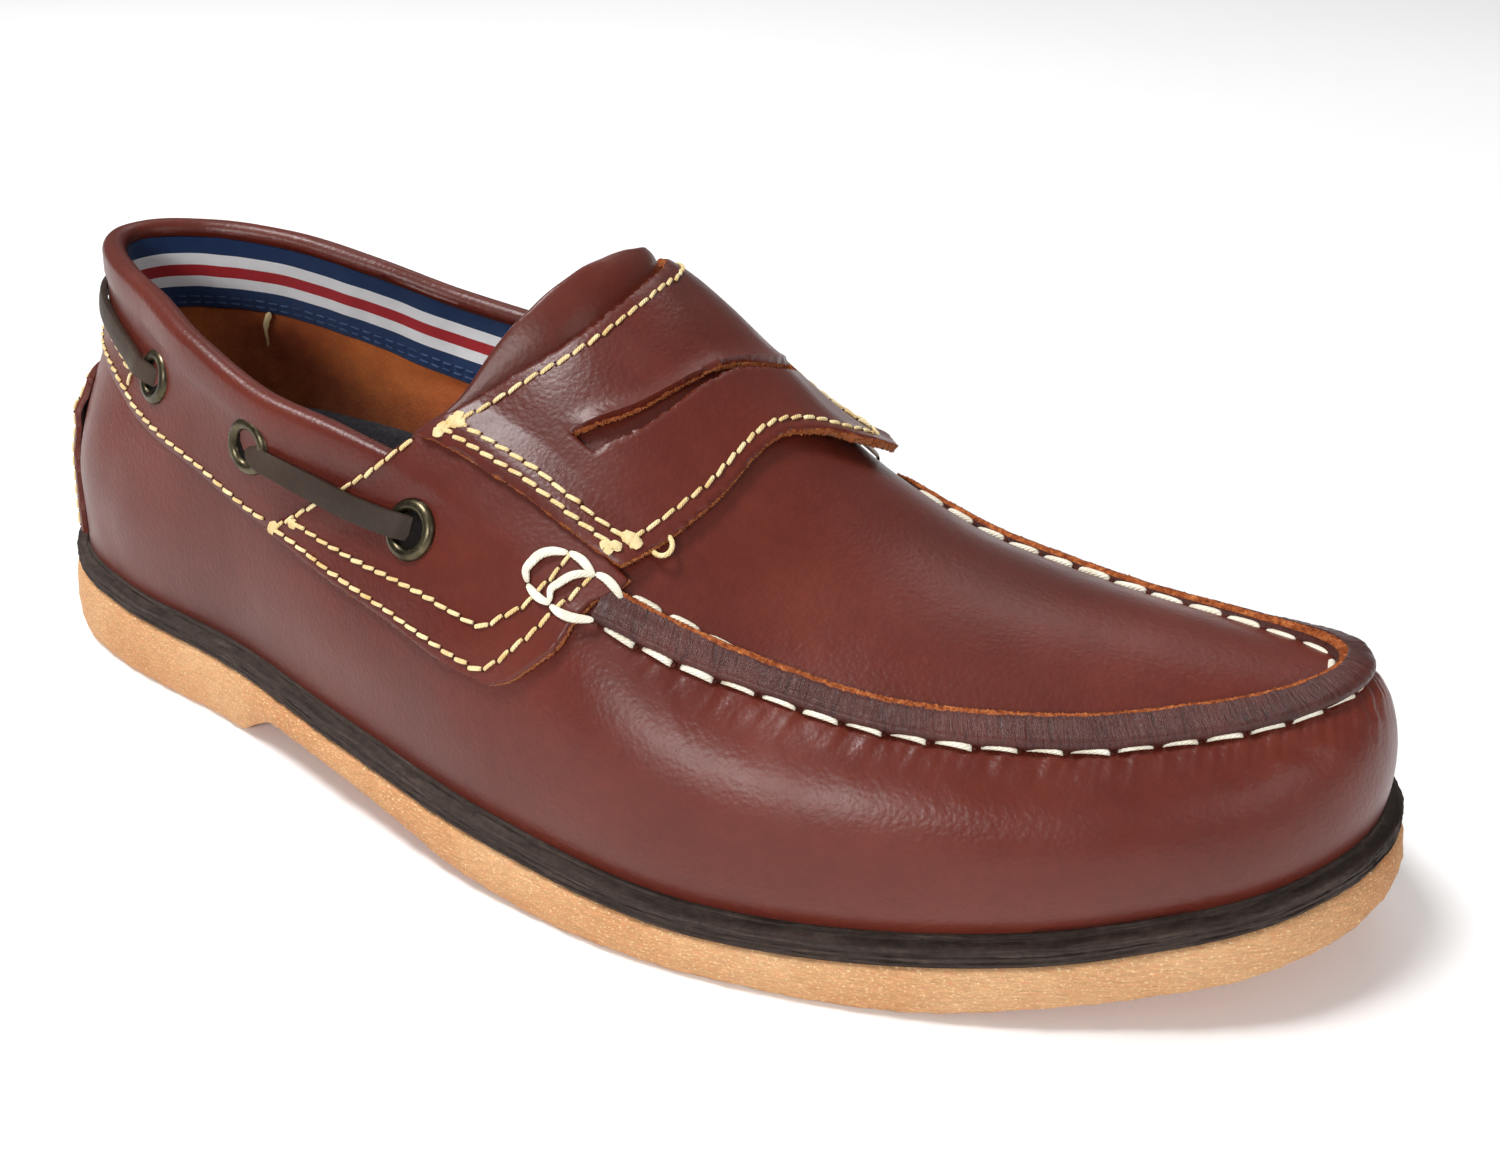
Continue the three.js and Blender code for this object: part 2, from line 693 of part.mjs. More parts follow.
function sideLace(sign) {
  const [, a, b] = EYELETS;
  return lace((s, across, lift) => {
    const x = mix(a.x, b.x, s);
    const q = mix(a.across, b.across, s) - across / 48;
    return overSkin(x, sign * q, lift + laceLift(s, 46, 0.9, 2.8, 2.6));
  }, 14);
}

function heelLace() {
  const end = angleAt(EYELETS[0].x);
  const middle = 0.83;
  return lace((s, across, lift) => {
    const turn = mix(-end, end, s);
    const share = 1 - Math.abs(2 * s - 1);
    const t = mix(2 - EYELETS[0].across, middle, Math.min(share * 1.6, 1)) + across / 62;
    return overWall(turn, t, lift + laceLift(s, 150, 1.0, 1.0, 0.9));
  }, 28);
}

// ---------- the part ----------

const looks = {
  leather: { color: COLOUR.leather, roughness: 0.42, metalness: 0 },
  rubber: { color: COLOUR.rubber, roughness: 0.85, metalness: 0 },
  midsole: { color: COLOUR.midsole, roughness: 0.75, metalness: 0 },
  insole: { color: COLOUR.insole, roughness: 0.9, metalness: 0 },
  roll: { color: COLOUR.roll, roughness: 0.45, metalness: 0 },
  brass: { color: COLOUR.brass, roughness: 0.35, metalness: 0.9 },
  lace: { color: COLOUR.lace, roughness: 0.6, metalness: 0 },
};

const group = new THREE.Group();

function add(name, geometry, look) {
  const mesh = new THREE.Mesh(geometry, new THREE.MeshStandardMaterial(looks[look]));
  mesh.name = name;
  group.add(mesh);
}

add('outsole', outsole(), 'rubber');
add('midsole', midsole(), 'midsole');
add('insole', insole(), 'insole');
add('upper', upper(), 'leather');
add('tongue', tongue(), 'leather');
add('saddle_strap', strap(), 'leather');
add('saddle_panel_lateral', panel(-1), 'leather');
add('saddle_panel_medial', panel(1), 'leather');
add('apron_roll', apronRoll(), 'roll');
add('heel_kicker', kicker(), 'leather');
for (const [name, sign] of [['lateral', -1], ['medial', 1]]) {
  EYELETS.forEach((spec) => add(`eyelet_${name}_${spec.name}`, eyelet(spec, sign), 'brass'));
  add(`lace_${name}`, sideLace(sign), 'lace');
}
add('lace_heel', heelLace(), 'lace');

export default group;
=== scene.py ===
import math

import bmesh
import bpy
import numpy as np
from mathutils import Matrix


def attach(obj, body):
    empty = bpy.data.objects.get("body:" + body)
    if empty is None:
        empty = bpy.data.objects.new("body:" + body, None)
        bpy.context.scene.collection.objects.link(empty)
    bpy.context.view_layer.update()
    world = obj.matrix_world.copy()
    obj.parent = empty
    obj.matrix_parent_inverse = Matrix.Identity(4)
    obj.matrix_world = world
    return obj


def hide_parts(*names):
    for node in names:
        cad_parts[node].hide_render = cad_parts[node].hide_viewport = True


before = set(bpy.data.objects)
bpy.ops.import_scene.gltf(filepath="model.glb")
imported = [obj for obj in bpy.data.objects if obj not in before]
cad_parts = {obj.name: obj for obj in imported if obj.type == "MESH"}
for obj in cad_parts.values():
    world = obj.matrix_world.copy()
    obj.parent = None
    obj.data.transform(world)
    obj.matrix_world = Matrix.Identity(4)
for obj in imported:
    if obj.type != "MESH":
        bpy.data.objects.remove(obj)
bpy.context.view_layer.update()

# Right-foot boat shoe. Lengths are millimetres in the shoe's own layout, heel at x = 0 and toe at x = 300,
# +Y medial and +Z up, until build() shifts them to the row frame and to metres.
MM = 0.001
SHIFT = np.array([-150.0, 5.95, 0.0])
PI = math.pi
RNG = np.random.default_rng(11)

LENGTH = 300.0
SWING_FROM, SWING_SOLE, SWING_TOP = 140.0, 7.9, 10.4
BACK_X, TIP_X = 15.0, 289.0
MIDSOLE = 5.4
FEATHER = 3.0
LEATHER = 2.0


# ---------- curves and the shape of the last ----------

def curve(xs, ys):
    xs, ys = np.asarray(xs, float), np.asarray(ys, float)
    step = np.diff(ys) / np.diff(xs)
    slope = np.zeros_like(ys)
    slope[0], slope[-1] = step[0], step[-1]
    a, b = step[:-1], step[1:]
    same = a * b > 0
    slope[1:-1] = np.where(same, 2 * a * b / np.where(same, a + b, 1), 0)

    def at(x):
        v = np.clip(x, xs[0], xs[-1])
        k = np.clip(np.searchsorted(xs, v, side="right") - 1, 0, len(xs) - 2)
        h = xs[k + 1] - xs[k]
        t = (v - xs[k]) / h
        s = 1 - t
        return (ys[k] * (1 + 2 * t) * s * s + slope[k] * h * t * s * s
                + ys[k + 1] * t * t * (3 - 2 * t) - slope[k + 1] * h * t * t * s)
    return at


def round_ends(xs, halves, x0, x1):
    angle = np.arccos(1 - 2 * (np.asarray(xs, float) - x0) / (x1 - x0))
    ratio = np.asarray(halves, float) / np.sin(angle)
    return curve([0, *angle, PI], [ratio[0], *ratio, ratio[-1]])


SOLE_X = [12, 36, 72, 114, 156, 198, 234, 264, 288]
sole_half = (
    round_ends(SOLE_X, [24.0, 34.8, 40.7, 51.8, 61.1, 62.3, 54.8, 42.7, 27.4], 0, LENGTH),
    round_ends(SOLE_X, [25.0, 34.0, 35.0, 32.5, 38.5, 48.5, 47.5, 41.5, 26.8], 0, LENGTH),
)
TOP_X = [24, 45, 66, 88, 110, 130, 150, 176, 200, 225, 250, 270, 282]
top_half = (
    round_ends(TOP_X, [12.8, 23.2, 32, 37, 38.3, 40, 44, 49.1, 45.2, 42.6, 33.9, 23.4, 14.6], BACK_X, TIP_X),
    round_ends(TOP_X, [16.2, 26, 31, 36, 38, 39.5, 41.5, 41.3, 37.8, 31.5, 25.8, 18.8, 11.6], BACK_X, TIP_X),
)
HIGH_X = [15, 24, 45, 66, 88, 110, 130, 150, 176, 200, 225, 250, 270, 289]
top_height = (
    curve(HIGH_X, [94, 92.8, 90, 85.3, 79.2, 75.6, 72.2, 66.5, 56.5, 49, 45.8, 44.6, 46.4, 50]),
    curve(HIGH_X, [94, 92.8, 90, 85.3, 79.2, 75.6, 73, 69, 58.1, 49.4, 44.8, 43.2, 45, 50]),
)
crown_height = curve([120, 150, 162, 176, 190, 200, 213, 225, 250, 270, 289],
                     [107, 101.5, 95, 84, 73, 66.5, 60.5, 57.4, 54, 52.2, 50])
outsole_top = curve([0, 40, 90, 150, 200, 250, 300], [19, 15.3, 13.9, 11, 7.7, 11.3, 22.5])
outsole_bottom = curve([-5, 78, 84, 92, 120, 150, 170, 224, 262, 303],
                       [0, 0, 3.6, 7.6, 6.2, 1.7, 0, 0, 4.6, 13.2])
SHAPE_X = [0, 60, 110, 150, 200, 250, 280, 300]
roundness = curve(SHAPE_X, [0, 0, 0.04, 0.5, 0.9, 0.95, 1, 1])
swell = curve(SHAPE_X, [-3, 1.5, 1, 2, 3.5, 3.5, 1.3, 0.4])
skew = curve(SHAPE_X, [0.14, 0.14, 0.14, 0.14, 0.12, 0.04, 0, 0])
STRAP_Q = [-0.9, -0.75, -0.6, -0.4, -0.2, 0, 0.2, 0.4, 0.6, 0.75, 0.9]
strap_top = curve(STRAP_Q, [128.6, 135.5, 142, 149.5, 153.2, 154.6, 154.2, 151, 143.5, 137, 130])
strap_low = curve(STRAP_Q, [171.8, 177, 180.5, 183.3, 184.2, 185.5, 189.3, 194.8, 197.3, 194.5, 187])


def mix(a, b, t):
    return a + (b - a) * t


def swing(x, amount):
    return amount * (np.maximum(x - SWING_FROM, 0) / (LENGTH - SWING_FROM)) ** 2


def side(turn):
    t = np.mod(turn, 2 * PI)
    lateral = t <= PI
    return lateral, np.where(lateral, -1.0, 1.0), np.where(lateral, t, 2 * PI - t)


def both(pair, lateral, v):
    return np.where(lateral, pair[0](v), pair[1](v))


def raw_outline(turn):
    lateral, sign, angle = side(turn)
    x = LENGTH * (1 - np.cos(angle)) / 2
    return x, sign * both(sole_half, lateral, angle) * np.sin(angle) + swing(x, SWING_SOLE)


def outline(turn, offset):
    x, y = raw_outline(turn)
    ax, ay = raw_outline(turn - 0.001)
    bx, by = raw_outline(turn + 0.001)
    m = np.hypot(bx - ax, by - ay)
    nx, ny = (by - ay) / m, -(bx - ax) / m
    return x + nx * offset, y + ny * offset, nx, ny


def top_line(turn):
    lateral, sign, angle = side(turn)
    x = BACK_X + (TIP_X - BACK_X) * (1 - np.cos(angle)) / 2
    shift = 2 * (1 - np.minimum(x / 90, 1))
    y = sign * both(top_half, lateral, angle) * np.sin(angle) + swing(x, SWING_TOP) + shift
    return np.stack([x, y, both(top_height, lateral, x)], -1)


def angle_at(x):
    return np.arccos(np.clip(1 - 2 * (np.asarray(x, float) - BACK_X) / (TIP_X - BACK_X), -1, 1))


def wall(turn, t):
    turn, t = np.broadcast_arrays(np.asarray(turn, float), np.asarray(t, float))
    fx, fy, nx, ny = outline(turn, -FEATHER)
    base = outsole_top(fx) + MIDSOLE
    top = top_line(turn)
    w = roundness(top[..., 0])
    e = PI / 2 * t
    lean = np.clip((t - 0.25) / 0.7, 0, 1)
    inward = (1 - w) * lean * lean * (3 - 2 * lean) + w * (1 - np.cos(e))
    rise = (1 - w) * t + w * np.sin(e)
    out = swell(top[..., 0]) * np.sin(PI * t ** 0.72)
    return np.stack([
        fx + (top[..., 0] - fx) * inward + nx * out,
        fy + (top[..., 1] - fy) * inward + ny * out,
        base + (top[..., 2] - base) * rise,
    ], -1)


def apron(angle, across):
    angle, across = np.broadcast_arrays(np.asarray(angle, float), np.asarray(across, float))
    a, b = top_line(angle), top_line(2 * PI - angle)
    p = a + (b - a) * ((1 + across) / 2)[..., None]
    lean = across - skew(a[..., 0]) * (1 - across * across)
    p[..., 2] += (crown_height(a[..., 0]) - (a[..., 2] + b[..., 2]) / 2) * (1 - np.abs(lean) ** 2.1)
    return p


def skin(angle, q):
    angle, q = np.broadcast_arrays(np.asarray(angle, float), np.asarray(q, float))
    flat = apron(angle, np.clip(q, -1, 1))
    up = wall(np.where(q < 0, angle, 2 * PI - angle), np.clip(2 - np.abs(q), 0, 1))
    return np.where((np.abs(q) <= 1)[..., None], flat, up)


def soft_skin(angle, q):
    return 0.5 * skin(angle, q) + 0.25 * skin(angle, q - 0.03) + 0.25 * skin(angle, q + 0.03)


def unit(v):
    return v / np.maximum(np.linalg.norm(v, axis=-1, keepdims=True), 1e-9)


def over_skin(x, q, lift):
    x, q, lift = np.broadcast_arrays(np.asarray(x, float), np.asarray(q, float), np.asarray(lift, float))
    angle = angle_at(x)
    u = soft_skin(angle + 0.02, q) - soft_skin(angle - 0.02, q)
    v = soft_skin(angle, q + 0.04) - soft_skin(angle, q - 0.04)
    return soft_skin(angle, q) + unit(np.cross(u, v)) * lift[..., None]


def wall_normal(turn, t):
    t = np.clip(t, 0.02, 0.98)
    u = wall(turn + 0.02, t) - wall(turn - 0.02, t)
    v = wall(turn, t + 0.02) - wall(turn, t - 0.02)
    return unit(np.cross(u, v))


def over_wall(turn, t, lift):
    turn, t, lift = np.broadcast_arrays(np.asarray(turn, float), np.asarray(t, float), np.asarray(lift, float))
    return wall(turn, t) + wall_normal(turn, t) * lift[..., None]


def apron_z(x, y):
    angle = angle_at(np.minimum(x, TIP_X - 0.5))
    a, b = top_line(angle), top_line(2 * PI - angle)
    across = 2 * (y - a[..., 1]) / np.maximum(b[..., 1] - a[..., 1], 0.1) - 1
    return apron(angle, np.clip(across, -1, 1))[..., 2]


def ripple(x, seed, *waves):
    """A smooth uneven line: waves of (length, height), each with its own fixed phase."""
    phases = np.random.default_rng(seed).uniform(0, 2 * PI, (len(waves), 2))
    total = 0.0
    for (length, height), (p, r) in zip(waves, phases):
        total = total + height * np.sin(2 * PI * x / length + p + 0.8 * np.sin(2 * PI * x / (length * 3.7) + r))
    return total


# ---------- mesh making ----------

class Shape:
    def __init__(self):
        self.verts, self.uvs, self.faces, self.mats, self.count = [], [], [], [], 0

    def points(self, p, uv=None):
        base = self.count
        p = np.asarray(p, float).reshape(-1, 3)
        self.verts.append(p)
        self.uvs.append(np.zeros((len(p), 2)) if uv is None else np.asarray(uv, float).reshape(-1, 2))
        self.count += len(p)
        return base

    def polys(self, index, mat):
        index = np.asarray(index)
        self.faces += index.tolist()
        self.mats += [mat] * len(index)

    def grid(self, p, mat=0, uv=None, wrap_rows=False, wrap_cols=False):
        rows, cols = p.shape[:2]
        base = self.points(p, uv)
        i = np.arange(rows * cols).reshape(rows, cols) + base
        if wrap_rows:
            i = np.vstack([i, i[:1]])
        if wrap_cols:
            i = np.hstack([i, i[:, :1]])
        quads = np.stack([i[:-1, :-1], i[1:, :-1], i[1:, 1:], i[:-1, 1:]], -1).reshape(-1, 4)
        self.polys(quads, mat)
        return i

    def cap(self, ring, mat=0):
        self.polys([list(ring)], mat)

    def ends(self, i, mat=0):
        """Close both ends of a grid whose columns wrap round."""
        self.cap(i[0, :-1][::-1], mat)
        self.cap(i[-1, :-1], mat)

    def sheet(self, top, low, mats=(0, 1, 2), keep=None, uv=None):
        rows, cols = top.shape[:2]
        keep = np.ones((rows - 1, cols - 1), bool) if keep is None else keep
        a, b = self.points(top, uv), self.points(low, uv)
        i = np.arange(rows * cols).reshape(rows, cols)
        quads = np.stack([i[:-1, :-1], i[1:, :-1], i[1:, 1:], i[:-1, 1:]], -1)[keep]
        self.polys(quads + a, mats[0])
        self.polys(quads[:, ::-1] + b, mats[1])
        pad = np.pad(keep, 1)
        for open_, p, r in [
            (keep & ~pad[:-2, 1:-1], i[:-1, :-1], i[:-1, 1:]),
            (keep & ~pad[2:, 1:-1], i[1:, 1:], i[1:, :-1]),
            (keep & ~pad[1:-1, :-2], i[1:, :-1], i[:-1, :-1]),
            (keep & ~pad[1:-1, 2:], i[:-1, 1:], i[1:, 1:]),
        ]:
            p, r = p[open_], r[open_]
            self.polys(np.stack([p + a, r + a, r + b, p + b], -1), mats[2])


def build(name, shape, mats, nodes=(), sharp=40):
    mesh = bpy.data.meshes.new(name)
    verts = (np.vstack(shape.verts) + SHIFT) * MM
    mesh.from_pydata(verts.tolist(), [], shape.faces)
    mesh.polygons.foreach_set("material_index", shape.mats)
    corner = np.empty(len(mesh.loops), np.int32)
    mesh.loops.foreach_get("vertex_index", corner)
    layer = mesh.uv_layers.new(name="Layout")
    layer.data.foreach_set("uv", np.vstack(shape.uvs)[corner].ravel())
    bm = bmesh.new()
    bm.from_mesh(mesh)
    bmesh.ops.delete(bm, geom=[v for v in bm.verts if not v.link_faces], context="VERTS")
    bmesh.ops.remove_doubles(bm, verts=bm.verts, dist=2e-6)
    bmesh.ops.recalc_face_normals(bm, faces=bm.faces)
    bm.to_mesh(mesh)
    bm.free()
    mesh.shade_smooth()
    mesh.set_sharp_from_angle(angle=math.radians(sharp))
    for m in mats:
        mesh.materials.append(m)
    obj = bpy.data.objects.new(name, mesh)
    bpy.context.scene.collection.objects.link(obj)
    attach(obj, "root")
    if nodes:
        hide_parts(*nodes)
    return obj


def border(keep):
    pad = np.pad(keep, 1)
    near = [pad[:-1, :-1], pad[1:, :-1], pad[:-1, 1:], pad[1:, 1:]]
    return ~(near[0] & near[1] & near[2] & near[3])


def leather_sheet(shape, place, u, v, base, thick, bevel, fray):
    """A cut piece of leather over the skin: eased top edge, frayed rim."""
    grid_u, grid_v = np.meshgrid(u, v, indexing="ij")
    rim = border(np.ones((len(u) - 1, len(v) - 1), bool))
    base = base(grid_u, grid_v)
    top = place(grid_u, grid_v, base + thick - bevel * rim)
    low = place(grid_u, grid_v, base)
    count = int(rim.sum())
    top[rim] += RNG.normal(0, fray, (count, 3))
    low[rim] += RNG.normal(0, fray, (count, 3))
    shape.sheet(top, low)


def spread(n, edge=0.01):
    """n even steps from 0 to 1, with one more line close inside each end."""
    return np.unique(np.round(np.concatenate([[0, edge, 1 - edge, 1], np.linspace(0, 1, n + 1)[1:-1]]), 6))


def along(points):
    """Distance along a line at each of its points."""
    step = np.linalg.norm(np.diff(points, axis=0), axis=1)
    return np.concatenate([[0], np.cumsum(step)])


def resample(points, s, values):
    return np.stack([np.interp(values, s, points[:, k]) for k in range(points.shape[1])], -1)


def pair(u, v):
    """UV places from two arrays that broadcast together."""
    return np.stack(np.broadcast_arrays(u, v), -1)


def circle(n):
    return np.arange(n) * 2 * PI / n


def sweep_axes(points, normals):
    """Along a line on the surface, across it, and out of the surface."""
    ahead = unit(np.gradient(points, axis=0))
    across = unit(np.cross(normals, ahead))
    return ahead, across, np.cross(ahead, across)


def stitches(shape, points, normals, pitch, length, width, height, slant=0.0, first=0.0, mat=0, hole=1,
             wobble=0.05, sides=8):
    """Stitches along a line on the surface, each one a short bowed thread with a hole at its ends."""
    s = along(points)
    starts = np.arange(first, s[-1] - length, pitch)
    if not len(starts):
        return
    mid = starts + length / 2
    p = resample(points, s, mid)
    ahead = unit(resample(points, s, mid + length / 2) - resample(points, s, mid - length / 2))
    up = unit(resample(normals, s, mid))
    across = unit(np.cross(up, ahead))
    up = np.cross(ahead, across)
    turn = slant + RNG.normal(0, 0.04, len(p))
    d = ahead * np.cos(turn)[:, None] + across * np.sin(turn)[:, None]
    c = np.cross(up, d)
    p = p + c * RNG.normal(0, wobble, len(p))[:, None]
    a = np.array([-1, -0.96, -0.82, -0.5, 0, 0.5, 0.82, 0.96, 1])
    fat = np.array([0.4, 0.68, 0.9, 0.99, 1, 0.99, 0.9, 0.68, 0.4])
    bow = np.array([-0.45, -0.2, 0.05, 0.2, 0.24, 0.2, 0.05, -0.2, -0.45]) * height
    long = RNG.uniform(0.94, 1.04, len(p)) * length / 2
    wide = RNG.uniform(0.9, 1.1, len(p)) * width / 2
    phi = circle(sides)
    centre = (p[:, None] + d[:, None] * (a[None] * long[:, None])[..., None] + up[:, None] * bow[None, :, None])
    rings = (centre[:, :, None]
             + c[:, None, None] * (np.cos(phi)[None, None] * fat[None, :, None] * wide[:, None, None])[...,
                                                                                                       None]
             + up[:, None, None] * (np.sin(phi)[None, None] * fat[None, :, None] * height / 2)[..., None])
    n, k = len(p), len(a)
    uv = pair((a[None, :, None] + 1) * length / 2 + np.arange(n)[:, None, None] * 9.3,
              phi[None, None] / (2 * PI) * width * 3)
    base = shape.points(rings, uv)
    i = (np.arange(n * k * sides).reshape(n, k, sides)) + base
    j = np.roll(i, -1, axis=2)
    quads = np.stack([i[:, :-1], i[:, 1:], j[:, 1:], j[:, :-1]], -1).reshape(-1, 4)
    shape.polys(quads, mat)
    shape.polys(i[:, 0].reshape(-1, sides)[:, ::-1], mat)
    shape.polys(i[:, -1].reshape(-1, sides), mat)
    if hole is not None:
        ends = np.concatenate([p - d * (long + 0.25)[:, None], p + d * (long + 0.25)[:, None]])
        pits(shape, ends, np.tile(up, (2, 1)), np.tile(d, (2, 1)), 0.24 * width + 0.1, hole)


def pits(shape, ends, up, d, radius, mat):
    """Small dished marks where the thread goes into the leather, coloured dark as painted shade in the holes.
    """
    phi = np.arange(6) * PI / 3
    c = np.cross(up, d)
    flat = np.cos(phi)[None, :, None] * d[:, None] * 0.9 + np.sin(phi)[None, :, None] * c[:, None]
    rings = np.stack([ends[:, None] + flat * radius - up[:, None] * 0.3,
                      ends[:, None] + flat * radius + up[:, None] * 0.05,
                      ends[:, None] + flat * radius * 0.4 + up[:, None] * 0.13], 1)
    n = len(ends)
    base = shape.points(rings)
    i = np.arange(n * 18).reshape(n, 3, 6) + base
    j = np.roll(i, -1, axis=2)
    shape.polys(np.stack([i[:, :-1], i[:, 1:], j[:, 1:], j[:, :-1]], -1).reshape(-1, 4), mat)
    shape.polys(i[:, 0][:, ::-1], mat)
    shape.polys(i[:, 2], mat)


def tube(shape, points, normals, width, height, sides, mat=0, taper=0.6):
    """A thread or thin strip swept along points, with both ends drawn in."""
    points = np.asarray(points, float)
    s = along(points)
    _, across, up = sweep_axes(points, normals)
    end = np.minimum(s, s[-1] - s)
    width = np.broadcast_to(width, len(points))
    fat = np.clip(end / (width * taper), 0, 1)
    fat = 0.35 + 0.65 * np.sqrt(1 - (1 - fat) ** 2)
    phi = circle(sides)
    rings = (points[:, None] + across[:, None] * (np.cos(phi)[None] * (fat * width)[:, None] / 2)[..., None]
             + up[:, None] * (np.sin(phi)[None] * fat[:, None] * height / 2)[..., None])
    uv = pair(s[:, None], phi[None] / (2 * PI) * width.max() * 3)
    i = shape.grid(rings, mat, uv, wrap_cols=True)
    shape.ends(i, mat)


def spindle(shape, points, normals, width, height, sides=12, mat=0):
    """A waxed thread pulled tight over the leather: broad in the middle, drawn in at both ends."""
    points = np.asarray(points, float)
    s = along(points)
    _, across, up = sweep_axes(points, normals)
    fat = 0.42 + 0.58 * np.sin(PI * np.clip(s / s[-1], 0, 1)) ** 0.55
    phi = circle(sides)
    flat = np.sign(np.sin(phi)) * np.abs(np.sin(phi)) ** 0.7
    rings = (points[:, None] + across[:, None] * (np.cos(phi)[None] * fat[:, None] * width / 2)[..., None]
             + up[:, None] * (flat[None] * fat[:, None] * height / 2)[..., None])
    uv = pair(s[:, None], phi[None] / (2 * PI) * width * 3)
    i = shape.grid(rings, mat, uv, wrap_cols=True)
    shape.ends(i, mat)


def blob(shape, centre, up, radius, height, mat=0):
    """An uneven lump of thread."""
    rows, cols = 7, 10
    v = unit(np.cross(up, [0.3, 0.9, 0.2]))
    w = np.cross(up, v)
    phi, theta = circle(cols), np.linspace(0.3, PI - 0.3, rows)
    rough = 1 + RNG.normal(0, 0.12, (rows, cols))
    around = np.cos(phi)[None, :, None] * v + np.sin(phi)[None, :, None] * w
    grid = (centre + around * (np.sin(theta)[:, None] * rough * radius)[..., None]
            + up * (np.cos(theta)[:, None] * rough * height / 2)[..., None])
    i = shape.grid(grid, mat, wrap_cols=True)
    shape.ends(i, mat)


def fibres(shape, p, out, up, count, thick, longest=0.8):
    """Loose fibres standing out of a cut edge whose top rim runs along p."""
    s = along(p)
    pick = RNG.uniform(0, s[-1], count)
    root, o, u = resample(p, s, pick), unit(resample(out, s, pick)), unit(resample(up, s, pick))
    root = root - u * RNG.uniform(0.1, thick, count)[:, None] - o * 0.1
    d = unit(o + RNG.normal(0, 0.5, (count, 3)))
    c = unit(np.cross(d, u + 0.01))
    e = np.cross(d, c)
    phi = circle(3)
    thin = RNG.uniform(0.05, 0.1, count)[:, None, None]
    spokes = np.cos(phi)[None, :, None] * c[:, None] + np.sin(phi)[None, :, None] * e[:, None]
    ring = root[:, None] + spokes * thin
    tip = root + d * RNG.uniform(0.25, longest, count)[:, None]
    base = shape.points(np.concatenate([ring, tip[:, None]], 1))
    i = np.arange(count * 4).reshape(count, 4) + base
    for a, b, k in ((0, 1, 3), (1, 2, 3), (2, 0, 3), (2, 1, 0)):
        shape.polys(i[:, [a, b, k]], 0)


def smooth_path(points, n):
    """A smooth line through a few places (Catmull-Rom)."""
    p = np.asarray(points, float)
    p = np.vstack([2 * p[0] - p[1], p, 2 * p[-1] - p[-2]])
    out = []
    for k in range(1, len(p) - 2):
        t = np.linspace(0, 1, n, endpoint=False)[:, None]
        a, b, c, d = p[k - 1], p[k], p[k + 1], p[k + 2]
        out.append(0.5 * (2 * b + (c - a) * t + (2 * a - 5 * b + 4 * c - d) * t ** 2
                          + (3 * b - a - 3 * c + d) * t ** 3))
    return np.vstack([*out, p[-2:-1]])


def skin_frame(x, q, lift):
    """Points over the skin and the way out from it."""
    p = over_skin(x, q, lift)
    return p, unit(over_skin(x, q, lift + 1) - p)


def skin_line(places, lift, n=14):
    """Points and normals over the skin along (x, across) places."""
    path = smooth_path(places, n)
    x, q = path[:, 0], path[:, 1]
    lift = np.interp(np.linspace(0, 1, len(x)), np.linspace(0, 1, np.size(lift)), np.atleast_1d(lift))
    return skin_frame(x, q, lift)


def wall_line(turn, t, lift):
    p = over_wall(turn, t, lift)
    return p, wall_normal(turn, t)


# ---------- materials ----------

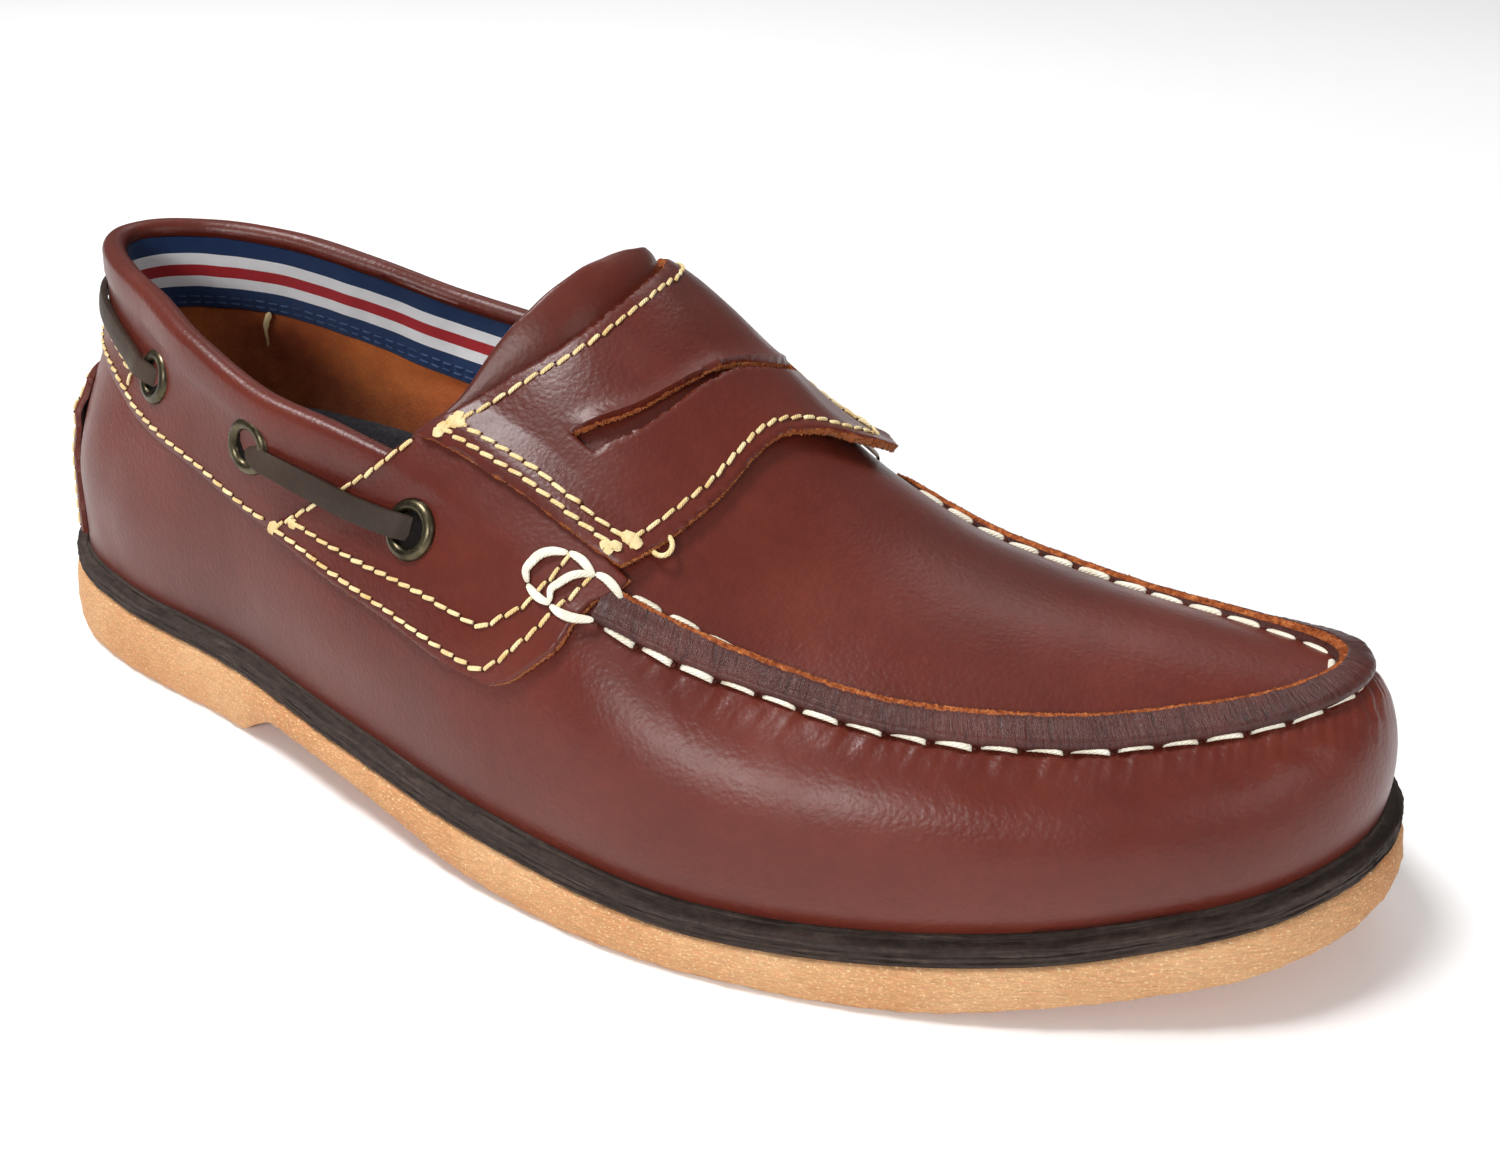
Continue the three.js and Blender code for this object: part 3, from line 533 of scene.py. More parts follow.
class Nodes:
    def __init__(self, name):
        self.mat = bpy.data.materials.new(name)
        self.mat.use_nodes = True
        self.tree = self.mat.node_tree
        self.tree.nodes.clear()
        self.out = self.add("ShaderNodeOutputMaterial")
        self.bsdf = self.add("ShaderNodeBsdfPrincipled")
        self.link(self.bsdf, "BSDF", self.out, "Surface")
        self.coord = self.add("ShaderNodeTexCoord")

    def add(self, kind, **values):
        node = self.tree.nodes.new(kind)
        for key, value in values.items():
            setattr(node, key, value)
        return node

    def link(self, a, out, b, into):
        self.tree.links.new(a.outputs[out], b.inputs[into])

    def feed(self, source, socket):
        """A (node, output) pair is linked; a number or colour is set on the socket itself."""
        if isinstance(source, (int, float)):
            socket.default_value = source
        elif isinstance(source[0], (int, float)):
            socket.default_value = (*source, 1)
        else:
            self.tree.links.new(source[0].outputs[source[1]], socket)

    def place(self, scale, uv=False):
        m = self.add("ShaderNodeMapping")
        m.inputs["Scale"].default_value = scale
        self.link(self.coord, "UV" if uv else "Object", m, "Vector")
        return m

    def noise(self, scale, detail=3.0, rough=0.55, stretch=None, uv=False, distort=0.0):
        n = self.add("ShaderNodeTexNoise")
        for key, value in (("Scale", scale), ("Detail", detail), ("Roughness", rough), ("Distortion", distort)):
            n.inputs[key].default_value = value
        self.link(self.place(stretch or (1, 1, 1), uv), "Vector", n, "Vector")
        return n, "Fac"

    def cells(self, scale, feature="F1"):
        n = self.add("ShaderNodeTexVoronoi", feature=feature)
        n.inputs["Scale"].default_value = scale
        self.link(self.place((1, 1, 1)), "Vector", n, "Vector")
        return n, "Distance"

    def wave(self, scale, axis, distort):
        n = self.add("ShaderNodeTexWave", wave_type="BANDS", bands_direction=axis)
        n.inputs["Scale"].default_value = scale
        n.inputs["Distortion"].default_value = distort
        self.link(self.place((1, 1, 1), True), "Vector", n, "Vector")
        return n, "Fac"

    def ramp(self, source, stops, mode="LINEAR"):
        r = self.add("ShaderNodeValToRGB")
        r.color_ramp.interpolation = mode
        e = r.color_ramp.elements
        while len(e) < len(stops):
            e.new(0.5)
        for k, (at, c) in enumerate(stops):
            e[k].position = at
            e[k].color = (*c, 1) if not isinstance(c, (int, float)) else (c, c, c, 1)
        self.feed(source, r.inputs["Fac"])
        return r, "Color"

    def blend(self, a, b, factor, mode="MIX"):
        m = self.add("ShaderNodeMix", data_type="RGBA", blend_type=mode)
        for k, source in ((0, factor), (6, a), (7, b)):
            self.feed(source, m.inputs[k])
        return m, 2

    def math(self, op, a, b):
        m = self.add("ShaderNodeMath", operation=op)
        self.feed(a, m.inputs[0])
        self.feed(b, m.inputs[1])
        return m, "Value"

    def span(self, source, low, high, from_low=0.0, from_high=1.0):
        m = self.add("ShaderNodeMapRange")
        for key, value in (("From Min", from_low), ("From Max", from_high), ("To Min", low), ("To Max", high),
                           ("Value", source)):
            self.feed(value, m.inputs[key])
        return m, "Result"

    def finish(self, colour, rough, bumps=(), **sockets):
        self.feed(colour, self.bsdf.inputs["Base Color"])
        self.feed(rough, self.bsdf.inputs["Roughness"])
        last = None
        for source, depth, strength in bumps:
            b = self.add("ShaderNodeBump")
            b.inputs["Strength"].default_value = strength
            b.inputs["Distance"].default_value = depth * MM
            self.feed(source, b.inputs["Height"])
            if last:
                self.link(last, "Normal", b, "Normal")
            last = b
        if last:
            self.link(last, "Normal", self.bsdf, "Normal")
        for key, value in sockets.items():
            self.bsdf.inputs[key.replace("_", " ")].default_value = value
        return self.mat


def srgb(r, g, b):
    return tuple((c / 255 / 12.92) if c <= 10 else ((c / 255 + 0.055) / 1.055) ** 2.4 for c in (r, g, b))


def leather(name, dark, mid, light, grain=1.0, rough=(0.3, 0.45), shine=0.34):
    n = Nodes(name)
    tone = n.ramp(n.noise(16, 4, 0.6), [(0.3, dark), (0.52, mid), (0.75, light)])
    fine = n.ramp(n.noise(420, 3, 0.6), [(0.25, 0.78), (0.75, 1.0)])
    colour = n.blend(tone, fine, 0.7, "MULTIPLY")
    pores = n.ramp(n.cells(1500), [(0.0, 0.55), (0.28, 1.0)])
    colour = n.blend(colour, pores, 0.35, "MULTIPLY")
    r = n.span(n.noise(60, 4, 0.6), *rough, 0.3, 0.7)
    bumps = [
        (n.noise(70, 4, 0.55), 1.0, 0.11 * grain),
        (n.noise(850, 4, 0.65), 0.22, 0.3 * grain),
        (n.cells(1200, "SMOOTH_F1"), 0.14, 0.42 * grain),
    ]
    return n.finish(colour, r, bumps, Specular_IOR_Level=shine, Coat_Weight=0.18 * shine,
                    Coat_Roughness=0.3)


def roll_leather():
    """Glossy leather with fine wrinkles across the roll; u runs along it, in millimetres. Its tone is a darker
    copy of the oxblood leather as painted shade, and its wrinkle lines are darkened as painted shade in the
    creases.
    """
    n = Nodes("oxblood_roll")
    # painted shade: these tones are a darker copy of the oxblood leather, so the roll's top reads dark under
    # the overhead light
    tone = n.ramp(n.noise(40, 4, 0.6),
                  [(0.3, srgb(58, 26, 22)), (0.52, srgb(76, 34, 29)), (0.75, srgb(96, 46, 38))])
    lines = n.noise(1.0, 5, 0.72, stretch=(1.25, 0.16, 1), uv=True, distort=0.5)
    # painted shade: the colour is darkened along the wrinkle lines, in the creases
    crease_shade = n.ramp(lines, [(0.36, 0.3), (0.47, 0.95), (0.7, 1.08)])
    colour = n.blend(tone, crease_shade, 0.75, "MULTIPLY")
    fine = n.noise(900, 4, 0.65)
    return n.finish(colour, n.span(fine, 0.3, 0.5, 0.3, 0.7), [(lines, 0.9, 0.55), (fine, 0.2, 0.4)],
                    Specular_IOR_Level=0.4, Coat_Weight=0.1, Coat_Roughness=0.25)


def raw_edge():
    n = Nodes("raw_leather_edge")
    colour = n.ramp(n.noise(900, 4, 0.7),
                    [(0.3, srgb(98, 42, 22)), (0.5, srgb(162, 86, 46)), (0.72, srgb(206, 130, 76))])
    return n.finish(colour, 0.95, [(n.noise(2200, 3, 0.7), 0.5, 0.8), (n.noise(700, 3, 0.6), 0.8, 0.6)],
                    Specular_IOR_Level=0.15)


def suede(name, dark, light):
    n = Nodes(name)
    tone = n.ramp(n.noise(45, 5, 0.65), [(0.3, dark), (0.7, light)])
    nap = n.ramp(n.noise(1600, 3, 0.7), [(0.3, 0.7), (0.7, 1.1)])
    colour = n.blend(tone, nap, 0.6, "MULTIPLY")
    return n.finish(colour, 0.95, [(n.noise(1500, 4, 0.7), 0.35, 0.6), (n.noise(160, 3, 0.6), 0.6, 0.35)],
                    Specular_IOR_Level=0.15, Sheen_Weight=0.25, Sheen_Roughness=0.5)


def thread(name, dark, light, ply):
    n = Nodes(name)
    twist = n.wave(ply, "DIAGONAL", 0.6)
    tone = n.ramp(n.noise(260, 3, 0.6), [(0.3, dark), (0.65, light)])
    shade = n.ramp(twist, [(0.0, 0.72), (0.45, 1.0)])
    colour = n.blend(tone, shade, 0.6, "MULTIPLY")
    return n.finish(colour, 0.62, [(twist, 0.25, 0.5), (n.noise(2400, 3, 0.6), 0.12, 0.4)],
                    Specular_IOR_Level=0.35)


def tape():
    """Striped ribbon: u runs along it and v across it, both in millimetres."""
    n = Nodes("lining_tape")
    split = n.add("ShaderNodeSeparateXYZ")
    n.link(n.coord, "UV", split, "Vector")
    share = n.math("DIVIDE", (split, "Y"), TAPE_WIDTH)
    navy, white, red = srgb(26, 52, 96), srgb(255, 253, 255), srgb(182, 36, 44)
    stripes = n.ramp(share, [(0, navy), (0.27, white), (0.415, red), (0.56, white), (0.7, navy)], "CONSTANT")
    ribs = n.wave(1.25, "X", 0.3)
    picks = n.wave(1.25, "Y", 0.3)
    weave = n.math("MAXIMUM", ribs, picks)
    shade = n.ramp(weave, [(0.1, 0.62), (0.8, 1.0)])
    colour = n.blend(stripes, shade, 0.6, "MULTIPLY")
    dirt = n.ramp(n.noise(90, 4, 0.6), [(0.3, 0.75), (0.6, 1.0)])
    colour = n.blend(colour, dirt, 0.5, "MULTIPLY")
    return n.finish(colour, 0.85, [(weave, 0.25, 0.6)], Specular_IOR_Level=0.2, Sheen_Weight=0.15)


def rubber():
    """Sanded crepe edge: u runs round the sole and v up it, in millimetres."""
    n = Nodes("outsole_rubber_side")
    tone = n.ramp(n.noise(26, 4, 0.6),
                  [(0.3, srgb(192, 132, 84)), (0.5, srgb(208, 156, 108)), (0.72, srgb(222, 178, 132))])
    streak = n.noise(1.0, 5, 0.72, stretch=(0.3, 2.4, 1), uv=True, distort=0.2)
    colour = n.blend(tone, n.ramp(streak, [(0.36, 0.72), (0.62, 1.08)]), 0.8, "MULTIPLY")
    pink = n.ramp(n.noise(1.0, 4, 0.7, stretch=(0.5, 1.5, 1), uv=True), [(0.5, 0.0), (0.68, 0.55)])
    colour = n.blend(colour, srgb(222, 146, 108), pink)
    flecks = n.ramp(n.noise(1.0, 3, 0.8, stretch=(1.3, 2.6, 1), uv=True), [(0.56, 0.0), (0.66, 0.85)])
    colour = n.blend(colour, srgb(252, 230, 178), flecks)
    return n.finish(colour, 0.74, [(streak, 0.5, 0.6), (n.noise(1500, 3, 0.7), 0.3, 0.6)],
                    Specular_IOR_Level=0.25)


def under_rubber():
    n = Nodes("outsole_under")
    tone = n.ramp(n.noise(22, 4, 0.6), [(0.3, srgb(196, 112, 58)), (0.7, srgb(224, 146, 84))])
    return n.finish(tone, n.span(n.noise(50, 3), 0.38, 0.55, 0.3, 0.7), [(n.noise(500, 3, 0.6), 0.3, 0.25)],
                    Specular_IOR_Level=0.4)


def midsole_look():
    n = Nodes("midsole_dark")
    lines = n.noise(1.0, 4, 0.65, stretch=(0.06, 2.2, 1), uv=True, distort=0.3)
    tone = n.ramp(lines, [(0.3, srgb(34, 26, 23)), (0.55, srgb(62, 50, 44)), (0.78, srgb(94, 78, 68))])
    dust = n.ramp(n.noise(700, 4, 0.75), [(0.4, 0.7), (0.7, 1.3)])
    colour = n.blend(tone, dust, 0.8, "MULTIPLY")
    return n.finish(colour, 0.78, [(lines, 0.7, 0.7), (n.noise(900, 3, 0.7), 0.3, 0.5)], Specular_IOR_Level=0.3)


def brass():
    n = Nodes("aged_brass")
    tone = n.ramp(n.noise(240, 4, 0.6),
                  [(0.3, srgb(56, 50, 40)), (0.6, srgb(98, 90, 70)), (0.8, srgb(150, 138, 108))])
    return n.finish(tone, n.span(n.noise(500, 3), 0.22, 0.42, 0.3, 0.7), [(n.noise(900, 2, 0.6), 0.1, 0.25)],
                    Metallic=1.0)


def plain_dark(name, dark, light, rough=0.85, scale=700):
    n = Nodes(name)
    tone = n.ramp(n.noise(scale, 3, 0.6), [(0.3, dark), (0.7, light)])
    return n.finish(tone, rough, [(n.noise(scale * 2, 3, 0.6), 0.2, 0.4)], Specular_IOR_Level=0.2)


TAPE_WIDTH, TAPE_DROP = 19.4, 1.8
OX = srgb(82, 29, 20), srgb(96, 36, 25), srgb(109, 45, 32)
LEATHER_MAT = leather("oxblood_leather", *OX, 1.0, (0.3, 0.42))
ROLL_MAT = roll_leather()
TONGUE_MAT = leather("oxblood_tongue", srgb(84, 32, 22), srgb(98, 39, 27), srgb(110, 47, 34), 0.8, (0.3, 0.44))
RAW = raw_edge()
SUEDE = suede("suede_lining", srgb(156, 70, 30), srgb(212, 116, 56))
FIBRE = suede("loose_fibre", srgb(150, 76, 40), srgb(216, 142, 88))
FLESH = suede("leather_flesh_side", srgb(92, 50, 34), srgb(128, 78, 54))
CREAM = thread("cream_thread", srgb(226, 190, 122), srgb(250, 230, 178), 0.9)
WHITE = thread("white_thread", srgb(226, 216, 192), srgb(250, 245, 228), 0.7)
NAVY_THREAD = thread("navy_thread", srgb(38, 56, 92), srgb(72, 92, 132), 1.1)
# painted shade: a near-black material that closes each eyelet's hole where only shade would show
WELL_SHADE = plain_dark("eyelet_well_shade", srgb(8, 5, 4), srgb(16, 10, 8), 1.0)
# painted shade: a darker colour for the needle holes, standing in for the shade in each small recess
PIT_SHADE = plain_dark("needle_hole_shade", srgb(52, 22, 15), srgb(84, 38, 26))
TAPE = tape()
RUBBER = rubber()
UNDER = under_rubber()
MID = midsole_look()
INSOLE = plain_dark("insole_cover", srgb(36, 35, 38), srgb(58, 56, 60), 0.9, 900)
BRASS = brass()
LACE_THICK = 1.6
LACE_MAT = leather("lace_leather", srgb(44, 33, 26), srgb(63, 49, 40), srgb(84, 67, 56), 1.5, (0.5, 0.66), 0.25)

# ---------- outsole ----------

HALF = 420
STITCHED_FROM = 96


def ring_turns(half, breast=()):
    even = np.linspace(0, PI, half + 1)
    extra = np.arccos(1 - 2 * np.asarray(breast, float) / LENGTH) if len(breast) else []
    lateral = np.sort(np.concatenate([even, extra]))
    return np.concatenate([lateral, 2 * PI - lateral[1:-1][::-1]])


def ring(turns, offset, height):
    x, y, _, _ = outline(turns, offset)
    return np.stack([x, y, height(x)], -1)


def perimeter(turns):
    x, y, _, _ = outline(turns, 0)
    return np.concatenate([[0], np.cumsum(np.hypot(np.diff(x), np.diff(y)))])


def lid(edge, columns):
    """A grid that closes a ring, from its lateral half across to its medial half."""
    m = len(edge) // 2
    a, b = edge[:m + 1], np.vstack([edge[:1], edge[m:][::-1]])[:m + 1]
    return a[:, None] + (b - a)[:, None] * np.linspace(0, 1, columns)[None, :, None]


def outsole():
    shape = Shape()
    turns = ring_turns(HALF, [77.8, 78.6, 84, 91.5, 92])
    s = perimeter(turns)

    def rough(k):
        return ripple(s, 40 + k, (3.1, 0.05), (7.7, 0.09), (23, 0.1))

    def between(share):
        return lambda x: mix(outsole_bottom(x), outsole_top(x), share)

    # (offset from the outline, share of the height)
    table = [(-0.5, 0.0), (0.45, 0.035), (1.0, 0.12), (1.4, 0.28), (1.45, 0.45), (1.25, 0.62), (0.85, 0.8),
             (0.35, 0.93), (-0.2, 0.985), (-0.9, 1.0)]
    grid = np.stack([ring(turns, offset + rough(k), between(share)) for k, (offset, share) in enumerate(table)])
    shape.grid(grid, 0, pair(s[None], grid[..., 2]), wrap_cols=True)
    # Underside: border, stitched groove and the tread inside it, all at or above the ground line.
    depth = [(-0.5, 0), (-1.6, 0), (-9.6, 0), (-10.2, 0.6), (-10.7, 1.5), (-12.3, 1.5), (-12.8, 0.6),
             (-13.4, 0.35)]
    under = np.stack([ring(turns, o, lambda x, d=d: outsole_bottom(x) + d) for o, d in depth])
    shape.grid(under, 1, None, wrap_cols=True)
    tread = lid(under[-1], 41)
    sides, share, x = tread[:, [0, -1]].copy(), np.linspace(0, 1, 41), tread[..., 0]
    zone = np.clip((x - 140) / 4, 0, 1) * np.clip((262 - x) / 4, 0, 1)
    zone = zone * np.clip(np.minimum(share, 1 - share)[None] * 12 - 0.5, 0, 1)
    ribs = 0.5 + 0.5 * np.cos(2 * PI * x / 3.4)
    tread[..., 2] = outsole_bottom(x) + 0.35 + 0.55 * zone * (ribs ** 0.7)
    tread[:, [0, -1]] = sides
    shape.grid(tread, 1)
    top = lid(ring(turns, -0.9, outsole_top), 5)
    top[..., 2] = outsole_top(top[..., 0])
    shape.grid(top, 0)
    build("outsole_sole", shape, [RUBBER, UNDER], ["outsole"], 50)
    seam = ring(turns, -11.5, lambda v: outsole_bottom(v) + 1.15)
    start = int(np.argmin(np.abs(seam[:, 0] - STITCHED_FROM) + (seam[:, 1] > 0) * 999))
    front = np.roll(seam, -start, axis=0)[: int((seam[:, 0] > STITCHED_FROM).sum())]
    row = Shape()
    stitches(row, front, np.tile([0, 0, -1.0], (len(front), 1)), 9.6, 8.2, 1.7, 0.95, 0.0, 2, hole=None)
    build("sole_stitches", row, [CREAM])


def midsole():
    shape = Shape()
    turns = ring_turns(330)
    s = perimeter(turns)
    # (offset from the outline, height above the outsole)
    table = [(-1.5, 0.12), (-0.25, 0.2), (0.05, 0.55), (0.12, 1.1), (-0.12, 1.35), (0.06, 1.7), (0.1, 2.3),
             (-0.15, 2.5), (0.02, 2.8), (0.0, 3.35), (-0.3, 3.75), (-1.0, 3.95), (-2.1, 4.02), (-2.3, 4.2),
             (-2.35, 4.9), (-2.8, 5.2)]
    rings = []
    for k, (offset, h) in enumerate(table):
        uneven = ripple(s, 60 + k, (2.3, 0.05), (6.1, 0.07), (17, 0.08)) if k > 1 else 0
        lift = ripple(s, 90 + k, (9.0, 0.05), (31, 0.07)) if 3 < k < 12 else 0
        level = ring(turns, offset + uneven, lambda x, h=h: outsole_top(x) + h)
        level[:, 2] += lift
        rings.append(level)
    grid = np.stack(rings)
    uv = pair(s[None], np.array([h for _, h in table])[:, None])
    shape.grid(grid, 0, uv, wrap_cols=True)
    shape.grid(lid(grid[0], 5), 0)
    shape.grid(lid(grid[-1], 5), 0)
    build("midsole_edge", shape, [MID], ["midsole"], 50)


FOOTBED_RIM = curve([0, 40, 85, 105, 120, 150, 300], [21, 24, 24, 14, 7, 5, 4.5])
SEAT = 4.5


def footbed():
    """Cupped footbed: a raised padded rim round the heel and the arch, a flat seat inside it."""
    shape = Shape()
    turns = ring_turns(260)

    def height(share):
        if share is None:
            return lambda x: outsole_top(x) + MIDSOLE + 0.1
        return lambda x: outsole_top(x) + MIDSOLE + mix(SEAT, FOOTBED_RIM(x), share)

    # (offset from the outline, share of the rim's height; the first ring lies on the midsole)
    table = [(-5.8, None), (-6.0, 0.55), (-6.3, 0.93), (-6.8, 1.0), (-7.7, 1.0), (-9.0, 0.93), (-11.2, 0.55),
             (-13.4, 0.16), (-15.6, 0.02), (-17.5, 0.0)]
    tuck = 3.6 * np.clip((48 - ring(turns, 0, outsole_top)[:, 0]) / 30, 0, 1)
    grid = np.stack([ring(turns, o - (0 if k is None else tuck), height(k)) for o, k in table])
    grid[1:, :, 2] += 0.25 * ripple(perimeter(turns), 95, (31, 0.5), (13, 0.3))
    shape.grid(grid, wrap_cols=True)
    shape.grid(lid(grid[0], 13), 0)
    shape.grid(lid(grid[-1], 13), 0)
    build("footbed_cover", shape, [INSOLE], ["insole"], 60)


outsole()
midsole()
footbed()

# ---------- upper ----------

PITCH = 7.3
SEAM_TURNS = np.linspace(0, 2 * PI, 4001)
SEAM_S = along(top_line(SEAM_TURNS))


def seam_s(turn):
    return np.interp(np.mod(turn, 2 * PI), SEAM_TURNS, SEAM_S)


ROLL_FROM, ROLL_TO = float(angle_at(173.0)), 2 * PI - float(angle_at(197.0))


def gathers(turn, t):
    """Puckers that the apron seam pulls into the wall below it, and the slow unevenness of the leather."""
    s = seam_s(turn)
    here = np.clip((turn - ROLL_FROM) / 0.1, 0, 1) * np.clip((ROLL_TO - turn) / 0.1, 0, 1)
    down = (1 - t) * 46
    tug = 0.75 + 0.25 * ripple(s, 3, (41, 0.6), (17, 0.4))
    fold = (np.abs(np.sin(PI * (s - seam_s(ROLL_FROM) - 2.5) / PITCH)) ** 0.7 - 0.55) * tug
    small = ripple(s + 0.25 * down, 5, (2.6, 0.35), (4.3, 0.4), (1.7, 0.2))
    toe = np.clip(1 - np.abs(turn - PI) / 0.75, 0, 1)
    depth = 0.75 * fold * np.exp(-(down / 6.0) ** 1.5) + 0.24 * small * np.exp(-(down / (9 + 8 * toe)) ** 2)
    slow = ripple(s, 8, (67, 0.16), (38, 0.1)) * np.sin(PI * np.clip(t, 0, 1)) ** 2
    creases = (0.22 * ripple(s - 0.6 * down, 21, (9.5, 0.6), (5.7, 0.5)) * np.exp(-((t - 0.72) / 0.16) ** 2)
               * (0.35 + 0.65 * toe))
    return here * (depth + creases * 0.7) + slow


def upper_wall():
    shape = Shape()
    turns = np.linspace(0, 2 * PI, 1201)[:-1]
    t = np.concatenate([np.linspace(0, 0.7, 17), np.linspace(0.7, 1, 22)[1:]])
    grid_t, grid_turn = np.meshgrid(t, turns, indexing="ij")
    outer = over_wall(grid_turn, grid_t, gathers(grid_turn, grid_t))
    outer[0, :, 2] = outsole_top(outer[0, :, 0]) + MIDSOLE - 0.3
    inner_t = np.linspace(0, 1, 14)
    g_t, g_turn = np.meshgrid(inner_t, turns, indexing="ij")
    sag = ripple(g_turn * 60, 31, (21, 0.15), (47, 0.25)) * np.sin(PI * g_t)
    inner = over_wall(g_turn, g_t, -LEATHER + sag)
    inner[0, :, 2] = outsole_top(inner[0, :, 0]) + MIDSOLE - 0.3
    a = shape.grid(outer, 0, wrap_cols=True)
    b = shape.grid(inner, 1, wrap_cols=True)
    for k in (0, -1):
        p, q = a[k], b[k]
        shape.polys(np.stack([p[:-1], p[1:], q[1:], q[:-1]], -1), 0)
    build("upper_wall", shape, [LEATHER_MAT, SUEDE], ["upper"], 60)


def apron_plug():
    shape = Shape()
    across = np.concatenate([[-1], np.linspace(-0.985, 0.985, 66), [1]])
    back = angle_at(strap_top(across) - 3)
    share = spread(120, 0.004)
    angle = back[None] + (PI - 0.02 - back[None]) * share[:, None]
    q = np.broadcast_to(across[None], angle.shape)
    slow = ripple(angle * 90, 12, (55, 0.12)) * (1 - q ** 2)
    p = apron(angle, q)
    u = apron(angle + 0.01, q) - apron(angle - 0.01, q)
    v = apron(angle, np.clip(q + 0.02, -1, 1)) - apron(angle, np.clip(q - 0.02, -1, 1))
    normal = unit(np.cross(u, v))
    normal[-1] = [0, 0, 1]
    top = p + normal * slow[..., None]
    shape.sheet(top, p - normal * LEATHER, (0, 1, 0))
    build("apron_plug", shape, [LEATHER_MAT, FLESH], ["upper"], 60)


def band_low(x):
    return curve([13, 30, 43, 49, 74, 97, 112, 131],
                 [0.705, 0.695, 0.665, 0.645, 0.622, 0.582, 0.60, 0.70])(x)


COLLAR_END = float(angle_at(128.0))


def collar_band():
    """The collar leather: from its stitch line up, rolled over the padded edge and a little way down inside."""
    shape = Shape()
    turns = np.linspace(-COLLAR_END, COLLAR_END, 301)
    x = top_line(turns)[:, 0]
    fade = np.clip((128 - x) / 22, 0, 1)
    plump = 0.5 + 0.5 * fade
    top = top_line(turns)
    nx, ny = unit(np.gradient(top[:, :2], axis=0)).T
    out = np.stack([ny, -nx, 0 * nx], -1)
    radius = 1.3 + 1.35 * plump ** 1.5 + ripple(turns * 60, 14, (19, 0.08), (33, 0.1))
    centre = top - out * 1.0 - np.array([0, 0, 1.0]) * (radius * 0.62)[:, None]
    low = band_low(x) - 0.028
    rings = [over_wall(turns, low + rise, lift) for rise, lift in ((0, -0.8), (0, 0.45), (0.008, 0.85))]
    end_t = 0.93 - 0.01 * plump
    for share in np.linspace(0.1, 1, 11):
        t = mix(low + 0.008, end_t, share)
        puff = 0.85 + (radius - 1.2) * 0.75 * share ** 5
        rings.append(over_wall(turns, t, puff))
    for phi in np.radians(np.linspace(8, 185, 13)):
        rings.append(centre + out * (np.cos(phi) * radius)[:, None]
                     + np.array([0, 0, 1.0]) * (np.sin(phi) * radius)[:, None])
    height = top[:, 2] - outsole_top(x) - MIDSOLE
    for drop, lift in ((1.7, -3.7), (2.6, -3.5), (3.1, -3.1), (3.1, -1.2)):
        rings.append(over_wall(turns, 1 - drop / height, lift * (0.7 + 0.3 * plump)))
    grid = np.stack(rings)
    i = shape.grid(grid, 0, wrap_rows=True)
    shape.cap(i[:-1, 0], 1)
    shape.cap(i[:-1, -1][::-1], 1)
    build("collar_band", shape, [LEATHER_MAT, RAW], ["upper"], 70)


def lining_tape():
    shape = Shape()
    turns = np.linspace(-angle_at(131.5), angle_at(131.5), 241)
    top = top_line(turns)
    height = top[:, 2] - outsole_top(top[:, 0]) - MIDSOLE
    s = along(top)
    v = np.concatenate([[0, 0.4], np.linspace(1, TAPE_WIDTH - 1, 20), [TAPE_WIDTH - 0.4, TAPE_WIDTH]])
    edge = (v < 0.2) | (v > TAPE_WIDTH - 0.2)
    lift = -LEATHER - 1.0 + 0.35 * edge[None] + ripple(s, 33, (24, 0.18), (11, 0.08))[:, None]
    t = 1 - (TAPE_DROP + v[None]) / height[:, None]
    front = over_wall(turns[:, None], t, lift)
    rear = over_wall(turns[:, None], t, np.full_like(t, -LEATHER + 0.3))
    shape.sheet(front, rear, (0, 0, 0), uv=pair(s[:, None], v[None]))
    build("lining_tape", shape, [TAPE], sharp=60)
    rows = Shape()
    for at in (TAPE_WIDTH - 1.6, TAPE_WIDTH - 3.2):
        tt = 1 - (TAPE_DROP + at) / height
        p = over_wall(turns, tt, -LEATHER - 1.1)
        stitches(rows, p, -wall_normal(turns, tt), 3.2, 2.4, 0.55, 0.45, hole=None)
    build("tape_stitches", rows, [NAVY_THREAD])
    end = Shape()
    u = np.linspace(0, 1, 15)
    turn = 2 * PI - float(angle_at(40.0)) + 0.006 * np.sin(u * 5)
    p = over_wall(turn, 1 - (TAPE_DROP + TAPE_WIDTH - 1.0 + 10 * u) / 70.0,
                  -LEATHER - 1.6 - 0.7 * np.sin(PI * u))
    tube(end, p, -wall_normal(turn, np.full(15, 0.7)),
         np.interp(u, [0, 0.35, 0.5, 1], [1.7, 1.5, 0.8, 0.6]), 0.9, 10)
    build("thread_end", end, [CREAM])


